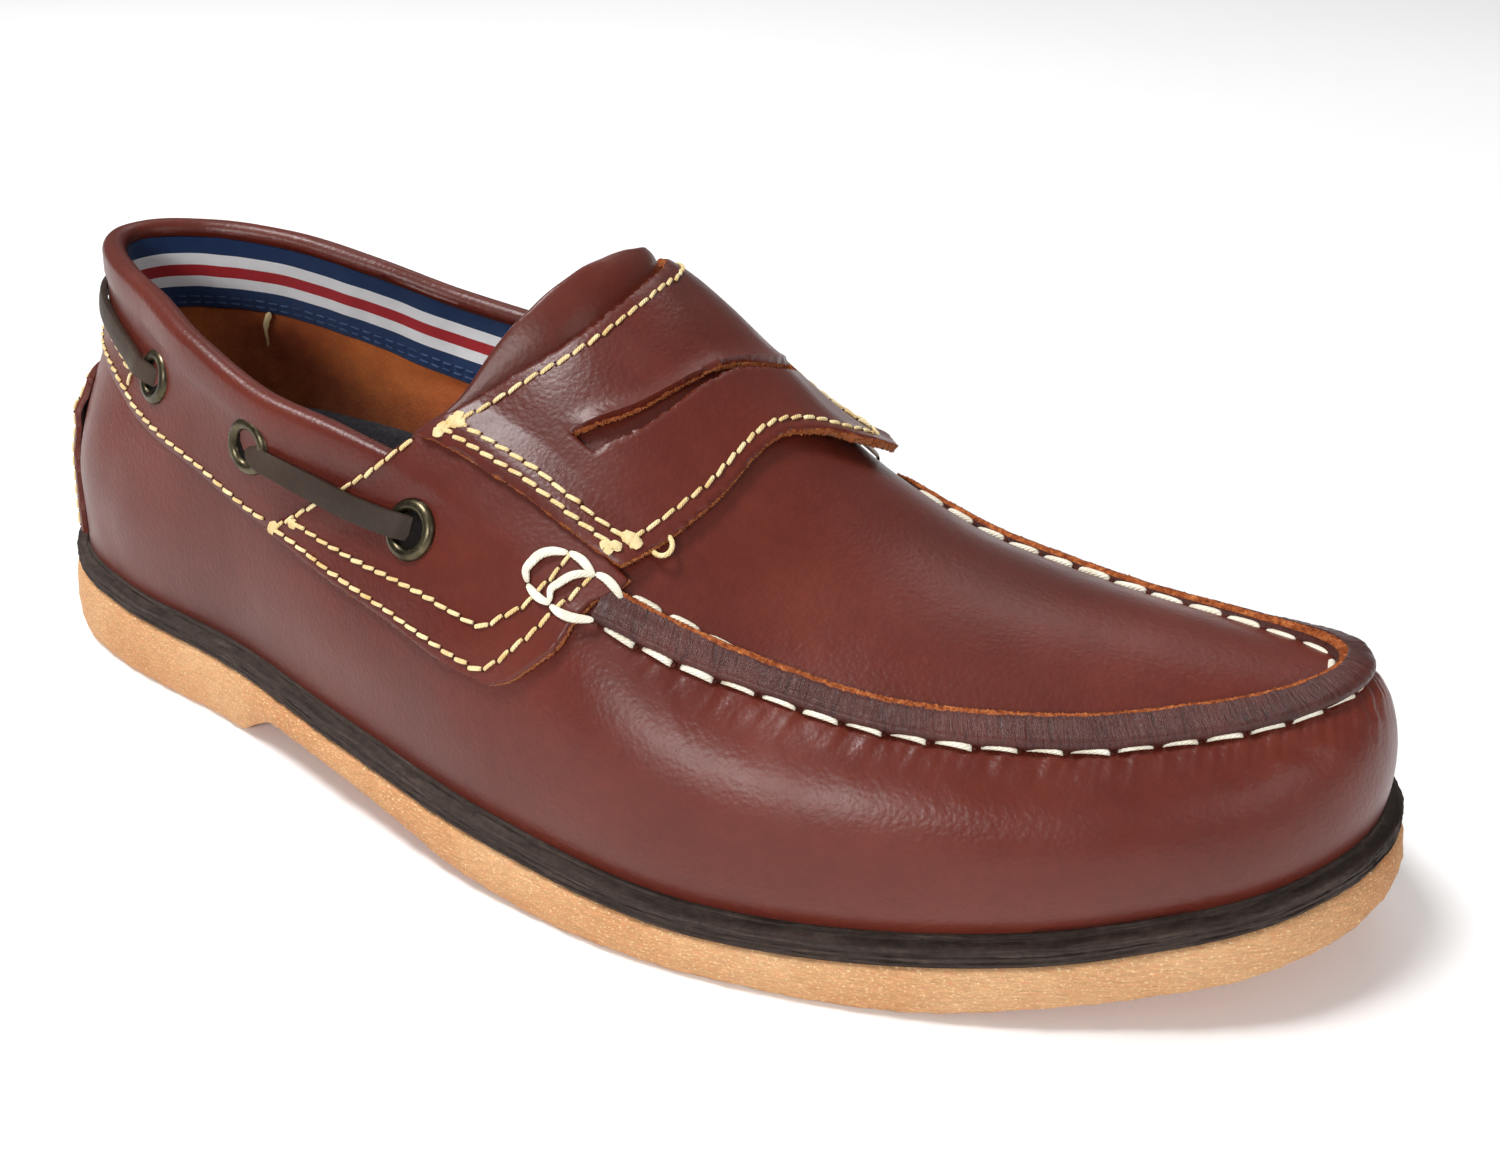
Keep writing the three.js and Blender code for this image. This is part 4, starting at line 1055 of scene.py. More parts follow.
def tongue():
    shape = Shape()
    rise = curve([-0.88, -0.75, -0.6, -0.45, -0.3, -0.15, 0, 0.2, 0.4, 0.65, 0.88],
                 [0.6, 2.2, 6.2, 9.5, 10.5, 10.2, 9.0, 7.0, 4.8, 2.4, 0.6])
    q = np.linspace(-0.88, 0.88, 111)
    root = apron(angle_at(strap_top(q) + 6), q)
    mid = apron(angle_at(strap_top(q) - 0.5), q)
    r = rise(q)
    top, low = [], []
    lean, ahead = np.array([-0.65, 0, 0.75]), np.array([0.75, 0, 0.65])
    for k in np.linspace(0, 1, 6)[:-1]:
        p = mix(root, mid, k) + np.array([0, 0, 0.35]) * k
        top.append(p + np.array([0, 0, 0.1]))
        low.append(p - np.array([0, 0, 1.5]))
    for k in np.concatenate([np.linspace(0, 0.94, 14), [0.985, 1.0]]):
        bow = 0.9 * np.sin(PI * k) * (r / 10)
        p = mid + np.array([0, 0, 0.45]) + lean * (k * r)[:, None] + ahead * bow[:, None]
        ease = 0.5 if k == 1.0 else 0.12 if k > 0.98 else 0.0
        out = unit(mix(np.array([0, 0, 1.0]), ahead, min(1.0, 2 * k)))
        top.append(p + out * (0.1 - ease))
        low.append(p - out * (1.6 - ease * 0.6))
    shape.sheet(np.stack(top, 1), np.stack(low, 1), (0, 1, 2))
    build("tongue_flap", shape, [TONGUE_MAT, FLESH, ROLL_MAT], ["tongue"], 60)


upper_wall()
apron_plug()
collar_band()
lining_tape()
tongue()

# ---------- strap and panels ----------

SLOT_UP = curve([-0.7, -0.64, -0.4, -0.2, 0, 0.2, 0.35, 0.7],
                [0.42, 0.422, 0.478, 0.522, 0.556, 0.568, 0.572, 0.58])
SLOT_LOW = curve([-0.7, -0.62, -0.4, -0.2, 0, 0.2, 0.35, 0.7],
                 [0.545, 0.546, 0.56, 0.576, 0.592, 0.597, 0.598, 0.602])
SLOT_HALF, SLOT_SPAN, STRAP_THICK = 0.722, 0.87, 2.0
MACHINE = dict(pitch=3.45, length=3.15, width=0.82, height=0.75, slant=0.14)


def strap_limit(t):
    return mix(0.9, 0.845, t)


def strap_lift(q):
    """The strap's underside: it rides up over the side panels near its ends."""
    return 0.6 + 1.15 * np.clip((np.abs(q) - 0.72) / 0.1, 0, 1)


def strap_curl(t, q):
    """How the front edge lifts away on the medial side."""
    return 2.6 * np.clip((t - 0.72) / 0.28, 0, 1) ** 2 * np.clip((q + 0.15) / 0.6, 0, 1) ** 1.3


def strap_xq(s, t):
    q = s * strap_limit(t)
    return mix(strap_top(q), strap_low(q), t), q


def slot_lip(s, t, q):
    """The upper edge of the slot stands up a little."""
    gap = t - SLOT_UP(q)
    return np.exp(-(gap / 0.05) ** 2) * (gap <= 1e-6) * np.clip((0.72 - np.abs(s)) / 0.12, 0, 1)


def strap_point(s, t, lift):
    x, q = strap_xq(s, t)
    return over_skin(x, q, strap_lift(q) + strap_curl(t, q) + slot_lip(s, t, q) + lift)


def saddle_strap():
    shape = Shape()
    s = np.unique(np.round(np.concatenate([[-1, -0.985, 0.985, 1], np.linspace(-0.97, 0.97, 131),
                                           [-SLOT_HALF, -0.716, 0.716, SLOT_HALF]]), 5))
    base = np.concatenate([[0, 0.03], np.linspace(0, 1, 15)[1:-1], [0.965, 1]])
    grid_s, grid_t = [], []
    for value in s:
        q = value * SLOT_SPAN
        a, b = float(SLOT_UP(q)), float(SLOT_LOW(q))
        above = base * a
        inside = np.array([0.25, 0.5, 0.75]) * (b - a) + a
        below = b + (1 - b) * base
        t = np.concatenate([above, inside, below])
        grid_t.append(t)
        grid_s.append(np.full(len(t), value))
    grid_s, grid_t = np.array(grid_s), np.array(grid_t)
    first = len(base) - 1
    keep = np.ones((len(s) - 1, grid_t.shape[1] - 1), bool)
    in_slot = (s[:-1] >= -SLOT_HALF - 0.0005) & (s[1:] <= SLOT_HALF + 0.0005)
    keep[in_slot, first:first + 4] = False
    x, q = strap_xq(grid_s, grid_t)
    rim = border(keep)
    curl = strap_curl(grid_t, q)
    uneven = ripple(grid_s * 50 + grid_t * 9, 71, (23, 0.09), (13, 0.05))
    base_lift = strap_lift(q) + curl + slot_lip(grid_s, grid_t, q) + uneven
    top = over_skin(x, q, base_lift + STRAP_THICK - 0.3 * rim)
    low = over_skin(x, q, base_lift)
    count = int(rim.sum())
    top[rim] += RNG.normal(0, 0.13, (count, 3))
    low[rim] += RNG.normal(0, 0.16, (count, 3))
    shape.sheet(top, low, keep=keep)
    build("saddle_strap_leather", shape, [LEATHER_MAT, FLESH, RAW], ["saddle_strap"], 55)
    fuzz = Shape()
    line = np.linspace(-1, 1, 120)
    upper = np.linspace(-0.71, 0.71, 90)
    lip = SLOT_UP(upper * SLOT_SPAN)
    down = np.linspace(0, 1, 40)
    for s_at, t_at, ds, dt, count, reach_out in (
            (line, np.ones(120), 0, 0.02, 2600, 0.75), (upper, lip, 0, 0.02, 1500, 0.6),
            (line, np.zeros(120), 0, -0.02, 500, 0.35),
            (-np.ones(40), down, -0.02, 0, 500, 0.45), (np.ones(40), down, 0.02, 0, 500, 0.6)):
        p = strap_point(s_at, t_at, 1.6)
        inside = strap_point(s_at - ds, t_at - dt, 1.6)
        fibres(fuzz, p, p - inside, strap_point(s_at, t_at, 2.6) - p, count, 1.6, reach_out)
    build("strap_fibres", fuzz, [FIBRE], sharp=30)


def strap_row(shape, points):
    """Stitches along (s, t) places on the strap."""
    path = smooth_path(points, 16)
    x, q = strap_xq(path[:, 0], path[:, 1])
    lift = strap_lift(q) + 2.05 + strap_curl(path[:, 1], q)
    stitches(shape, *skin_frame(x, q, lift), **MACHINE)


def strap_stitches():
    shape = Shape()
    across = np.linspace(-0.955, 0.955, 15)
    strap_row(shape, [(a, 0.075) for a in across])
    strap_row(shape, [(a, 0.925) for a in np.linspace(-0.9, 0.955, 15)])
    for sign in (-1, 1):
        strap_row(shape, [(sign * mix(0.955, 0.958, t), t) for t in np.linspace(0.05, 0.94, 8)])
        strap_row(shape, [(sign * 0.908, t) for t in np.linspace(0.06, 0.94, 8)])
    for s0, t0 in ((-0.955, 0.06), (-0.905, 0.07), (-0.95, 0.93), (-0.9, 0.925), (0.955, 0.06), (0.95, 0.93)):
        knot(shape, s0, t0)
    build("strap_stitches", shape, [CREAM, PIT_SHADE])


def knot(shape, s0, t0):
    """Backstitched thread piled up at a corner."""
    for k in range(4):
        x, q = strap_xq(np.array([s0 + RNG.normal(0, 0.011)]), np.array([t0 + RNG.normal(0, 0.014)]))
        lift = strap_lift(q) + 2.15 + RNG.uniform(0, 0.25)
        p, up = skin_frame(x, q, lift)
        blob(shape, p[0], up[0], RNG.uniform(0.8, 1.25), RNG.uniform(0.8, 1.1))


def coons(top, right, low, left, s, t):
    """Places inside four edge lines, each a smooth line through (x, across) places."""
    def line(points):
        path = smooth_path(points, 20)
        d = along(path * np.array([1.0, 42.0]))
        return lambda v: resample(path, d / d[-1], v)
    a, b, c, d = line(top), line(low), line(left), line(right)
    s_, t_ = s[..., None], t[..., None]
    corners = ((1 - s_) * (1 - t_) * a(np.zeros_like(s)) + s_ * (1 - t_) * a(np.ones_like(s))
               + (1 - s_) * t_ * b(np.zeros_like(s)) + s_ * t_ * b(np.ones_like(s)))
    return (1 - t_) * a(s) + t_ * b(s) + (1 - s_) * c(t) + s_ * d(t) - corners


PANEL_THICK = 1.7
PANEL_TOP = [(130.0, 0.85), (141, 0.82), (153, 0.81), (164, 0.81), (175.8, 0.86)]
PANEL_FRONT = [(175.8, 0.86), (174.2, 0.92), (171.6, 0.975), (170.7, 1.04), (169.9, 1.12), (168.6, 1.27),
               (164.6, 1.40), (161.2, 1.485), (157.5, 1.535)]
PANEL_LOW = [(96.0, 1.445), (112, 1.487), (128, 1.52), (145, 1.552), (157.5, 1.535)]
PANEL_REAR = [(130.0, 0.85), (121, 1.02), (109, 1.23), (96.0, 1.445)]


def reach(x, sign, most):
    """The saddle reaches further forward on the medial side."""
    return x + (most * np.clip((x - 118) / 57, 0, 1) ** 2 if sign > 0 else 0)


def side_panel(sign, name):
    shape = Shape()
    s, t = spread(74, 0.008), spread(44, 0.012)

    def place(gs, gt, lift):
        xq = coons(PANEL_TOP, PANEL_FRONT, PANEL_LOW, PANEL_REAR, gs, gt)
        return over_skin(reach(xq[..., 0], sign, 12), sign * xq[..., 1], lift)

    def base(gs, gt):
        xq = coons(PANEL_TOP, PANEL_FRONT, PANEL_LOW, PANEL_REAR, gs, gt)
        sag = ripple(gs * 70 + gt * 23, 81, (29, 0.12), (17, 0.06)) * np.sin(PI * gt)
        return 0.15 + sag + 0.35 * np.clip((xq[..., 0] - 165) / 8, 0, 1)

    leather_sheet(shape, place, s, t, base, PANEL_THICK, bevel=0.5, fray=0.1)
    build(name + "_leather", shape, [LEATHER_MAT, FLESH, RAW], [name], 55)
    fuzz = Shape()
    at = np.linspace(0, 1, 60)
    for gs, gt, ds, dt, count in ((np.ones(60), at, 0.02, 0, 1300), (at, np.ones(60), 0, 0.02, 700)):
        lift = base(gs, gt) + 1.3
        p, inside = place(gs, gt, lift), place(gs - ds, gt - dt, lift)
        fibres(fuzz, p, p - inside, place(gs, gt, lift + 1) - p, count, 1.2, 0.55)
    build(name + "_fibres", fuzz, [FIBRE], sharp=30)


PANEL_ROWS = [
    [(127.3, 0.925), (116.2, 1.13), (98.9, 1.42), (98.9, 1.42), (112, 1.452), (127.5, 1.487), (140, 1.508),
     (152.5, 1.511), (156.4, 1.485), (160.0, 1.40), (164.0, 1.262), (166.6, 1.10), (168.4, 0.98),
     (170.8, 0.885)],
    [(103.5, 1.37), (103.5, 1.37), (115, 1.386), (128.8, 1.398), (143.4, 1.394), (153.2, 1.378),
     (157.2, 1.30), (160.6, 1.20), (162.8, 1.05), (164.4, 0.94), (166.4, 0.87)],
]


def panel_stitches():
    shape = Shape()
    for sign in (-1, 1):
        for row in PANEL_ROWS:
            corner = next((k for k in range(1, len(row)) if row[k] == row[k - 1]), 0)
            for part in (row[:corner], row[corner:]):
                if len(part) < 2:
                    continue
                p, n = skin_line([(float(reach(x, sign, 12)), sign * q) for x, q in part], 1.95)
                stitches(shape, p, n, **MACHINE)
        for x0, q0 in ((98.9, 1.42), (98.6, 1.415), (103.3, 1.37)):
            x, q = np.array([x0 + RNG.normal(0, 0.3)]), np.array([sign * (q0 + RNG.normal(0, 0.006))])
            p, up = skin_frame(x, q, 2.05)
            blob(shape, p[0], up[0], 1.15, 0.95)
    build("panel_stitches", shape, [CREAM, PIT_SHADE])


def band_stitches():
    shape = Shape()
    end = float(angle_at(97.5))
    turns = np.linspace(-end, end, 400)
    x = top_line(turns)[:, 0]
    p, n = wall_line(turns, band_low(x), np.full(len(turns), 0.9))
    stitches(shape, p, n, **MACHINE)
    low = float(angle_at(44.3))
    turns = np.linspace(-low, low, 160)
    x = top_line(turns)[:, 0]
    t = curve([13, 31, 44.3], [0.765, 0.755, 0.722])(x)
    p, n = wall_line(turns, t, np.full(len(turns), 0.95))
    stitches(shape, p, n, **MACHINE)
    for sign in (-1, 1):
        t = np.linspace(0.722, 0.665, 12)
        p, n = wall_line(np.full(12, sign * low), t, np.full(12, 0.95))
        stitches(shape, p, n, **MACHINE)
    build("band_stitches", shape, [CREAM, PIT_SHADE])


saddle_strap()
strap_stitches()
for side_sign, node_name in ((-1, "saddle_panel_lateral"), (1, "saddle_panel_medial")):
    side_panel(side_sign, node_name)
panel_stitches()
band_stitches()

# ---------- apron roll and its hand stitches ----------

ROLL_WIDTH, ROLL_HEIGHT = 4.6, 3.0


def seam_frame(turn):
    edge = top_line(turn)
    ahead = top_line(turn + 0.01) - top_line(turn - 0.01)
    inward = unit(np.stack([-ahead[..., 1], ahead[..., 0], 0 * ahead[..., 0]], -1))
    return edge, inward


def apron_roll():
    shape = Shape()
    turns = np.linspace(ROLL_FROM, ROLL_TO, 1500)
    s = seam_s(turns) - seam_s(ROLL_FROM)
    edge, inward = seam_frame(turns)
    section = [(-0.26, -0.1, 0), (-0.40, 0.12, 0), (-0.47, 0.34, 0), (-0.45, 0.56, 0), (-0.35, 0.75, 0),
               (-0.18, 0.9, 0), (0.03, 0.985, 0), (0.24, 1.0, 0), (0.42, 0.97, 0), (0.56, 0.9, 1),
               (0.68, 0.78, 1), (0.75, 0.62, 1), (0.78, 0.45, 0), (0.80, 0.25, 0), (0.86, 0.08, 0),
               (0.88, -0.1, 0), (0.4, -0.12, 0)]
    bulge = np.abs(np.sin(PI * (s - 2.5) / PITCH)) ** 0.8
    pinch = ripple(s, 51, (1.5, 0.3), (2.3, 0.35), (3.9, 0.3), (11, 0.4))
    shown = np.interp(s, [0, 14, 26, 60, 78, 100, s[-1]], [0.25, 0.3, 1.0, 1.0, 0.35, 0.2, 0.3])
    shown = shown + ripple(s, 52, (9, 0.12))
    ends = np.clip(np.minimum(s, s[-1] - s) / 3.0, 0, 1)
    rings = []
    for out, up, cut in section:
        free = np.clip(up, 0, 1)
        wobble = (0.09 * (bulge - 0.6) + 0.06 * pinch) * free
        fray = RNG.normal(0, 0.1, len(s)) * (cut and up > 0.7)
        o = (out - wobble * (1.2 if out < 0.4 else -0.1) / ROLL_WIDTH) * ROLL_WIDTH
        o = o - (0.55 * np.clip(shown, 0, 1) * (out == 0.56) + 0.25 * np.clip(shown, 0, 1) * (out == 0.42))
        p = edge + inward * o[:, None]
        p[:, 2] = (np.maximum(apron_z(p[:, 0], p[:, 1]), edge[:, 2]) + 0.3
                   + up * ROLL_HEIGHT * mix(0.8, 1.0, ends) + wobble * 0.9 + fray)
        rings.append(p)
    grid = np.stack(rings, 1)
    base = shape.points(grid, pair(s[:, None], np.arange(len(section))[None] * 0.8))
    i = np.arange(grid.shape[0] * grid.shape[1]).reshape(grid.shape[:2]) + base
    for k in range(len(section)):
        j = (k + 1) % len(section)
        shape.polys(np.stack([i[:-1, k], i[1:, k], i[1:, j], i[:-1, j]], -1), section[k][2])
    shape.cap(i[0], 0)
    shape.cap(i[-1], 0)
    build("apron_roll_leather", shape, [ROLL_MAT, RAW], ["apron_roll"], 60)
    fuzz = Shape()
    rim = grid[:, 9]
    fibres(fuzz, rim, grid[:, 10] - rim + [0, 0, 0.5], np.tile([0, 0, 1.0], (len(rim), 1)), 2600, 0.5, 0.45)
    build("roll_fibres", fuzz, [FIBRE], sharp=30)


def seam_stitches():
    shape = Shape()
    turns = np.linspace(ROLL_FROM + 0.01, ROLL_TO - 0.01, 900)
    p = over_wall(turns, np.full(len(turns), 0.95), 0.75)
    n = wall_normal(turns, np.full(len(turns), 0.93))
    stitches(shape, p, n, PITCH, 6.0, 1.85, 1.25, -0.07, 0.5, wobble=0.12, sides=12)
    edge, inward = seam_frame(turns)
    q = edge + inward * (ROLL_WIDTH * 0.98)
    sunk = np.interp(seam_s(turns) - seam_s(ROLL_FROM), [0, 16, 26, 150, 185], [0, 0, 0.95, 0.95, 0])
    q[:, 2] = apron_z(q[:, 0], q[:, 1]) + 0.4 - sunk
    up = unit(np.array([0, 0, 1.0]) + inward * 0.35)
    stitches(shape, q, up, PITCH, 6.2, 1.5, 1.2, 0.08, 3.0, wobble=0.1, sides=10)
    build("seam_stitches", shape, [WHITE, PIT_SHADE])


def lashing():
    """Hand-sewn ladder where the apron seam starts, on both sides."""
    shape = Shape()
    threads = [
        ([(159.7, 1.106), (158.9, 1.05), (159.9, 0.98), (161.9, 0.94), (164.6, 0.91)], 1.8, 0.9),
        ([(164.9, 1.106), (164.5, 1.04), (166.1, 0.973), (168.1, 0.934), (170.2, 0.912)], 1.6, 0.9),
        ([(164.9, 0.906), (167.2, 0.9), (168.9, 0.905), (170.2, 0.914)], 1.7, 0.55),
        ([(170.5, 0.904), (172.3, 0.9), (174.1, 0.907), (175.7, 0.921)], 1.7, 0.5),
        ([(159.9, 1.118), (162.0, 1.129), (163.5, 1.129), (165.0, 1.118)], 1.6, 0.5),
        ([(165.3, 1.126), (167.6, 1.124), (170.1, 1.102), (172.9, 1.052)], 1.75, 0.5),
    ]
    for sign in (-1, 1):
        for places, width, rise in threads:
            path = smooth_path(places, 9)
            u = np.linspace(0, 1, len(path))
            lift = 1.85 + rise * np.sin(PI * u) ** 0.6 + 0.15
            x, q = reach(path[:, 0], sign, 15), sign * path[:, 1]
            p, n = skin_frame(x, q, lift)
            spindle(shape, p, n, width, 1.05)
            ends = over_skin(x[[0, -1]], q[[0, -1]], np.array([2.0, 2.0]))
            pits(shape, ends, n[[0, -1]], unit(p[[1, -1]] - p[[0, -2]]), 0.75, 1)
    build("seam_lashing", shape, [WHITE, PIT_SHADE])
    loop = Shape()
    phi = np.linspace(0.3, 2 * PI - 0.9, 30)
    x, q = 178.1 - 1.7 * np.cos(phi), -0.715 + 0.036 * np.sin(phi)
    lift = 2.0 - 0.6 * np.cos(phi)
    tube(loop, *skin_frame(x, q, lift), 0.95, 0.85, 8)
    build("thread_loop", loop, [CREAM])


apron_roll()
seam_stitches()
lashing()

# ---------- heel kicker ----------

KICKER_LOW, KICKER_HIGH = 0.03, 0.54
KICKER_HALF_LOW, KICKER_HALF_HIGH = 0.44, 0.31
KICKER_LEDGE, KICKER_THICK = 0.425, 1.5


def kicker_half(t):
    return mix(KICKER_HALF_LOW, KICKER_HALF_HIGH, (t - KICKER_LOW) / (KICKER_HIGH - KICKER_LOW))


def kicker_lift(t):
    """The leather stands out in a small ledge, then runs back to the heel."""
    return 0.15 + 0.9 * np.exp(-((t - KICKER_LEDGE) / 0.035) ** 2)


def heel_kicker():
    shape = Shape()
    s, t = spread(60, 0.012), spread(46, 0.012)

    def place(gs, gt, lift):
        tt = mix(KICKER_LOW, KICKER_HIGH, gt)
        return over_wall((2 * gs - 1) * kicker_half(tt), tt, lift)

    def base(gs, gt):
        return kicker_lift(mix(KICKER_LOW, KICKER_HIGH, gt))

    leather_sheet(shape, place, s, t, base, KICKER_THICK, bevel=0.45, fray=0.07)
    build("heel_kicker_leather", shape, [LEATHER_MAT, FLESH, TONGUE_MAT], ["heel_kicker"], 55)
    rows = Shape()
    for sign in (-1, 1):
        tt = np.linspace(0.05, 0.525, 80)
        p, n = wall_line(sign * (kicker_half(tt) - 0.026), tt, kicker_lift(tt) + KICKER_THICK + 0.1)
        stitches(rows, p, n, **MACHINE)
    turn = np.linspace(-0.285, 0.285, 60)
    p, n = wall_line(turn, np.full(60, 0.515), np.full(60, kicker_lift(0.515) + KICKER_THICK + 0.1))
    stitches(rows, p, n, **MACHINE)
    build("kicker_stitches", rows, [CREAM, PIT_SHADE])


heel_kicker()

# ---------- eyelets and lace ----------

EYELETS = {"rear": (53.8, 1.224, 0.75), "mid": (87.2, 1.196, 0.8), "front": (131.9, 1.222, 2.0)}
RIM = [(2.9, -0.9), (3.35, 0.0), (3.5, 0.55), (3.75, 1.0), (4.2, 1.3), (4.75, 1.36), (5.3, 1.2),
       (5.75, 0.8), (5.98, 0.3), (6.0, -0.1), (5.2, -0.3)]


def eyelets():
    phi = circle(40)
    for label, sign in (("lateral", -1), ("medial", 1)):
        for key, (x, q, on) in EYELETS.items():
            centre, normal = skin_frame(x, sign * q, 0.0)
            u = unit(np.cross(normal, [0, 0, 1.0]))
            v = np.cross(normal, u)
            around = np.cos(phi)[:, None] * u + np.sin(phi)[:, None] * v
            shape = Shape()
            grid = np.stack([centre + around * r + normal * (h + on) for r, h in RIM], 1)
            shape.grid(grid, 0, wrap_rows=True, wrap_cols=True)
            # The hole is closed by near-black discs, painted shade for the dark inside of the shoe seen through
            # it.
            well = np.stack([centre + around * r + normal * (h + on)
                             for r, h in ((3.45, 0.3), (2.6, 0.16), (1.4, 0.1), (0.3, 0.1))], 1)
            i = shape.grid(well, 1, wrap_rows=True)
            shape.cap(i[:-1, -1], 1)
            back = shape.grid(well - normal * 0.25, 1, wrap_rows=True)
            shape.cap(back[:-1, -1][::-1], 1)
            a, b = i[:, 0], back[:, 0]
            shape.polys(np.stack([a[:-1], a[1:], b[1:], b[:-1]], -1), 1)
            name = f"eyelet_{label}_{key}"
            build(name + "_ring", shape, [BRASS, WELL_SHADE], [name], 50)


def strip(shape, centre, normal, width, thick):
    """A flat lace with eased edges along centre."""
    _, across, up = sweep_axes(centre, normal)
    w, h = np.broadcast_to(width, len(centre)) / 2, thick / 2
    section = [(-1, -0.4), (-0.94, -0.85), (-0.6, -1), (0.6, -1), (0.94, -0.85), (1, -0.4), (1, 0.4),
               (0.94, 0.85), (0.6, 1), (0, 1.06), (-0.6, 1), (-0.94, 0.85), (-1, 0.4)]
    grid = np.stack([centre + across * (a * w)[:, None] + up * b * h for a, b in section], 1)
    shape.ends(shape.grid(grid, wrap_cols=True))


def laces():
    for sign, label in ((-1, "lateral"), (1, "medial")):
        (xa, qa, _), (xb, qb, _) = EYELETS["mid"], EYELETS["front"]
        u = np.linspace(0, 1, 70)
        x = mix(xa + 1.0, xb - 0.5, u)
        q = sign * (mix(qa, qb, u) + 0.012 * np.sin(PI * u))
        lift = np.interp(u, [0, 0.045, 0.1, 0.2, 0.45, 0.8, 0.9, 0.955, 1],
                         [0.2, 2.0, 3.0, 2.9, 3.2, 3.9, 4.1, 3.4, 1.6])
        centre, normal = skin_frame(x, q, lift)
        tilt = np.interp(u, [0, 0.12, 0.5, 0.9, 1], [0.75, 0.5, 0.12, -0.1, -0.1])[:, None] * sign * -1
        _, across, _ = sweep_axes(centre, normal)
        normal = unit(normal * np.cos(tilt) + across * np.sin(tilt))
        shape = Shape()
        strip(shape, centre, normal, np.interp(u, [0, 0.15, 0.5, 1], [3.9, 4.5, 5.0, 5.0]), LACE_THICK)
        build(f"lace_{label}_strip", shape, [LACE_MAT], [f"lace_{label}"], 50)
    end = float(angle_at(EYELETS["rear"][0]))
    u = np.linspace(0, 1, 181)
    share = 1 - np.abs(2 * u - 1)
    turn = mix(-end, end, u)
    t = mix(2 - EYELETS["rear"][1], 0.825, np.clip(share * 1.6, 0, 1)) + 0.004 * np.sin(u * 17)
    lift = np.interp(share, [0, 0.02, 0.06, 0.14, 0.3, 1], [0.3, 1.6, 3.1, 2.5, 2.3, 2.2])
    centre = over_wall(turn, t, lift)
    normal = wall_normal(turn, t)
    shape = Shape()
    strip(shape, centre, normal, 4.3, LACE_THICK)
    build("lace_heel_strip", shape, [LACE_MAT], ["lace_heel"], 50)


eyelets()
laces()

# ---------- stage, light and camera ----------

def floor():
    n = Nodes("studio_floor")
    tone = n.ramp(n.noise(3, 2, 0.5), [(0.3, 0.93), (0.7, 0.95)])
    mat = n.finish(tone, 0.9, Specular_IOR_Level=0.1)
    mesh = bpy.data.meshes.new("floor")
    r = 6.0
    mesh.from_pydata([(-r, -r, 0), (r, -r, 0), (r, r, 0), (-r, r, 0)], [], [(0, 1, 2, 3)])
    mesh.materials.append(mat)
    obj = bpy.data.objects.new("floor", mesh)
    bpy.context.scene.collection.objects.link(obj)


def placed(name, data, right, up, back, place):
    """A camera or lamp that looks along -back."""
    m = np.eye(4)
    m[:3, 0], m[:3, 1], m[:3, 2], m[:3, 3] = right, up, back, place
    obj = bpy.data.objects.new(name, data)
    obj.matrix_world = Matrix(m.tolist())
    bpy.context.scene.collection.objects.link(obj)
    return obj


def area(name, place, target, size, power):
    lamp = bpy.data.lights.new(name, "AREA")
    lamp.shape = "RECTANGLE"
    lamp.size, lamp.size_y = size
    lamp.energy = power
    back = unit(np.array(place, float) - np.array(target, float))
    right = unit(np.cross([0, 0, 1.0], back))
    placed(name, lamp, right, np.cross(back, right), back, place)


CAMERA_AZ, CAMERA_EL, CAMERA_ROLL = 30.2, 23.8, -0.7
CAMERA_PLACE = (0.1396, -0.24165, 0.191)


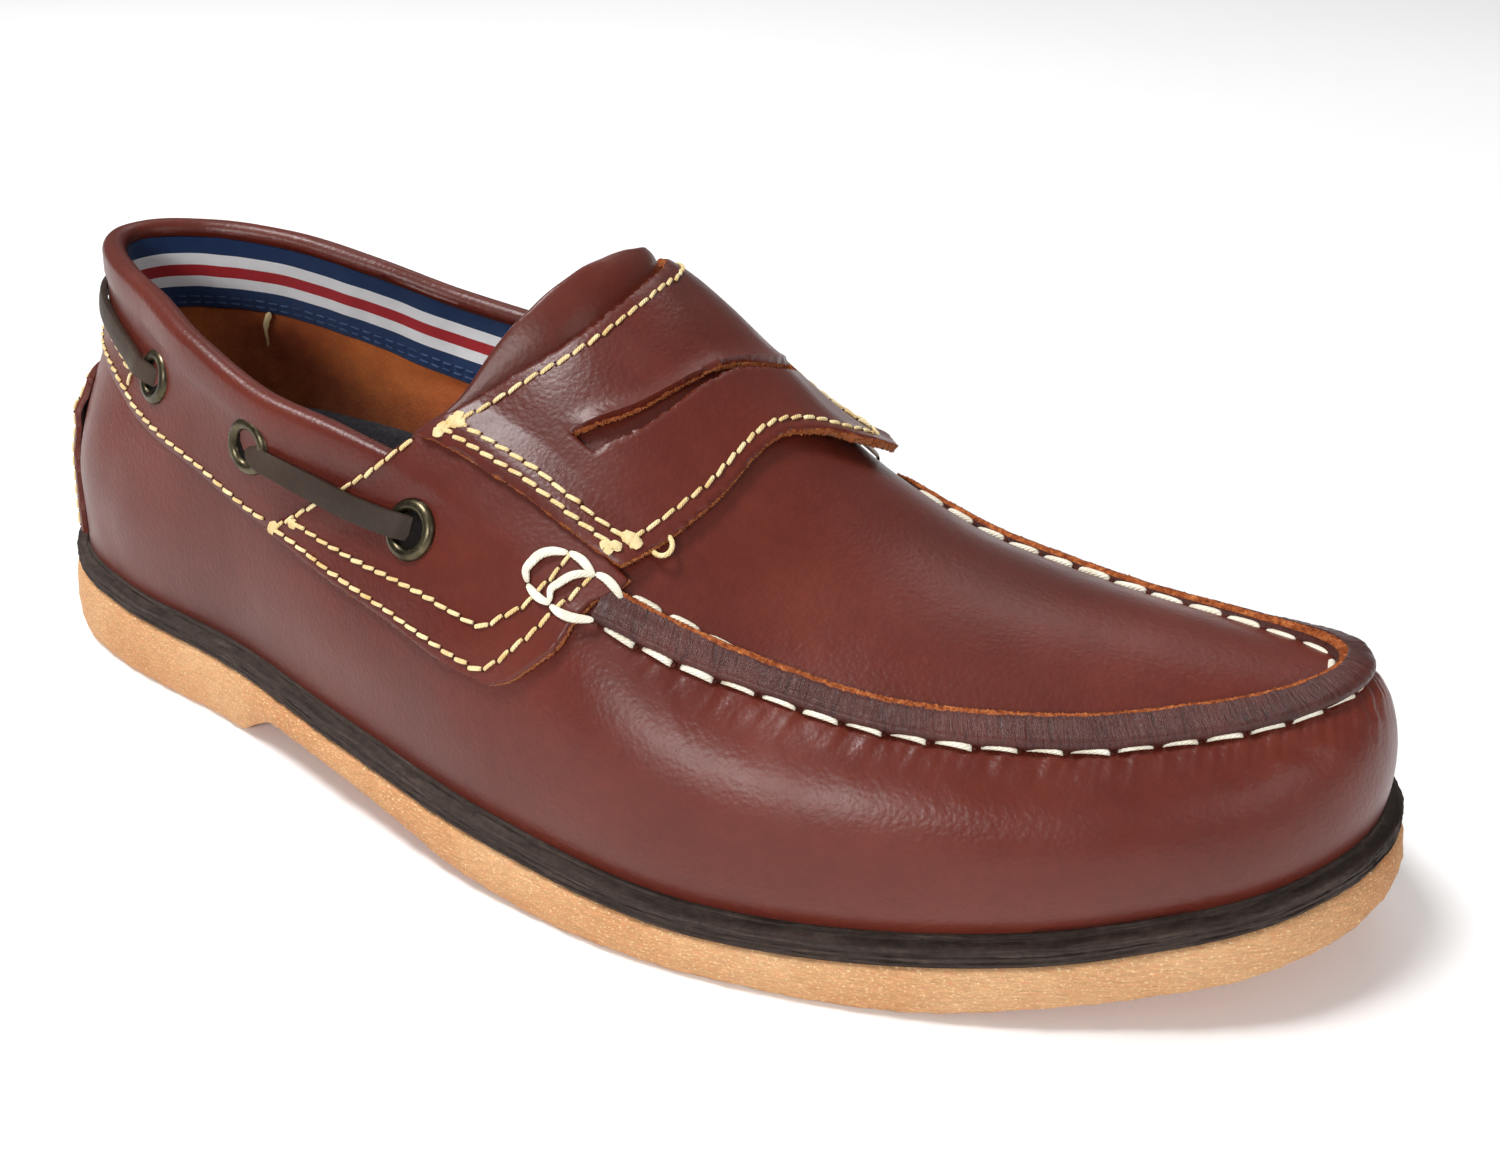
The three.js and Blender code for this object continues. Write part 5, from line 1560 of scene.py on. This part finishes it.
def camera():
    az, el, roll = (math.radians(v) for v in (CAMERA_AZ, CAMERA_EL, CAMERA_ROLL))
    right = np.array([math.cos(az), math.sin(az), 0])
    back = np.array([math.sin(az) * math.cos(el), -math.cos(az) * math.cos(el), math.sin(el)])
    up = np.cross(back, right)
    rolled_right = math.cos(roll) * right + math.sin(roll) * up
    rolled_up = -math.sin(roll) * right + math.cos(roll) * up
    data = bpy.data.cameras.new("camera")
    data.sensor_width = 36
    data.sensor_fit = "HORIZONTAL"
    data.lens = 36.78
    data.shift_x, data.shift_y = 0.1, -0.0833
    data.clip_start = 0.01
    bpy.context.scene.camera = placed("camera", data, rolled_right, rolled_up, back, CAMERA_PLACE)


def surroundings():
    """Soft white light from all round, brightest overhead and a little darker behind the shoe."""
    world = bpy.data.worlds.new("studio")
    world.use_nodes = True
    tree = world.node_tree
    where = tree.nodes.new("ShaderNodeTexCoord")
    split = tree.nodes.new("ShaderNodeSeparateXYZ")
    tree.links.new(where.outputs["Generated"], split.inputs[0])
    glow = tree.nodes.new("ShaderNodeMath")
    glow.operation = "ADD"
    for k, (axis, start, stop, low,
            high) in enumerate((("Z", 0.55, 0.85, 0, 0.14), ("Y", -0.2, 0.3, 0.27, 0.18))):
        step = tree.nodes.new("ShaderNodeMapRange")
        step.interpolation_type = "SMOOTHSTEP"
        tree.links.new(split.outputs[axis], step.inputs["Value"])
        for key, value in (("From Min", start), ("From Max", stop), ("To Min", low), ("To Max", high)):
            step.inputs[key].default_value = value
        tree.links.new(step.outputs["Result"], glow.inputs[k])
    background = tree.nodes["Background"]
    background.inputs["Color"].default_value = (1, 1, 1, 1)
    tree.links.new(glow.outputs[0], background.inputs["Strength"])
    bpy.context.scene.world = world


floor()
camera()
surroundings()
area("overhead", (-0.8, -0.35, 2.3), (0, 0, 0.05), (0.7, 0.6), 46)
area("side_front", (0.3, -2.25, 1.15), (0.03, 0, 0.04), (1.0, 0.5), 32)
area("back_high", (-0.4, 2.0, 2.2), (0.03, 0, 0.05), (1.6, 0.8), 10)
area("toe_side", (2.1, -0.6, 1.0), (0.1, 0, 0.04), (0.9, 0.9), 5)
bpy.context.scene.view_settings.view_transform = "Standard"
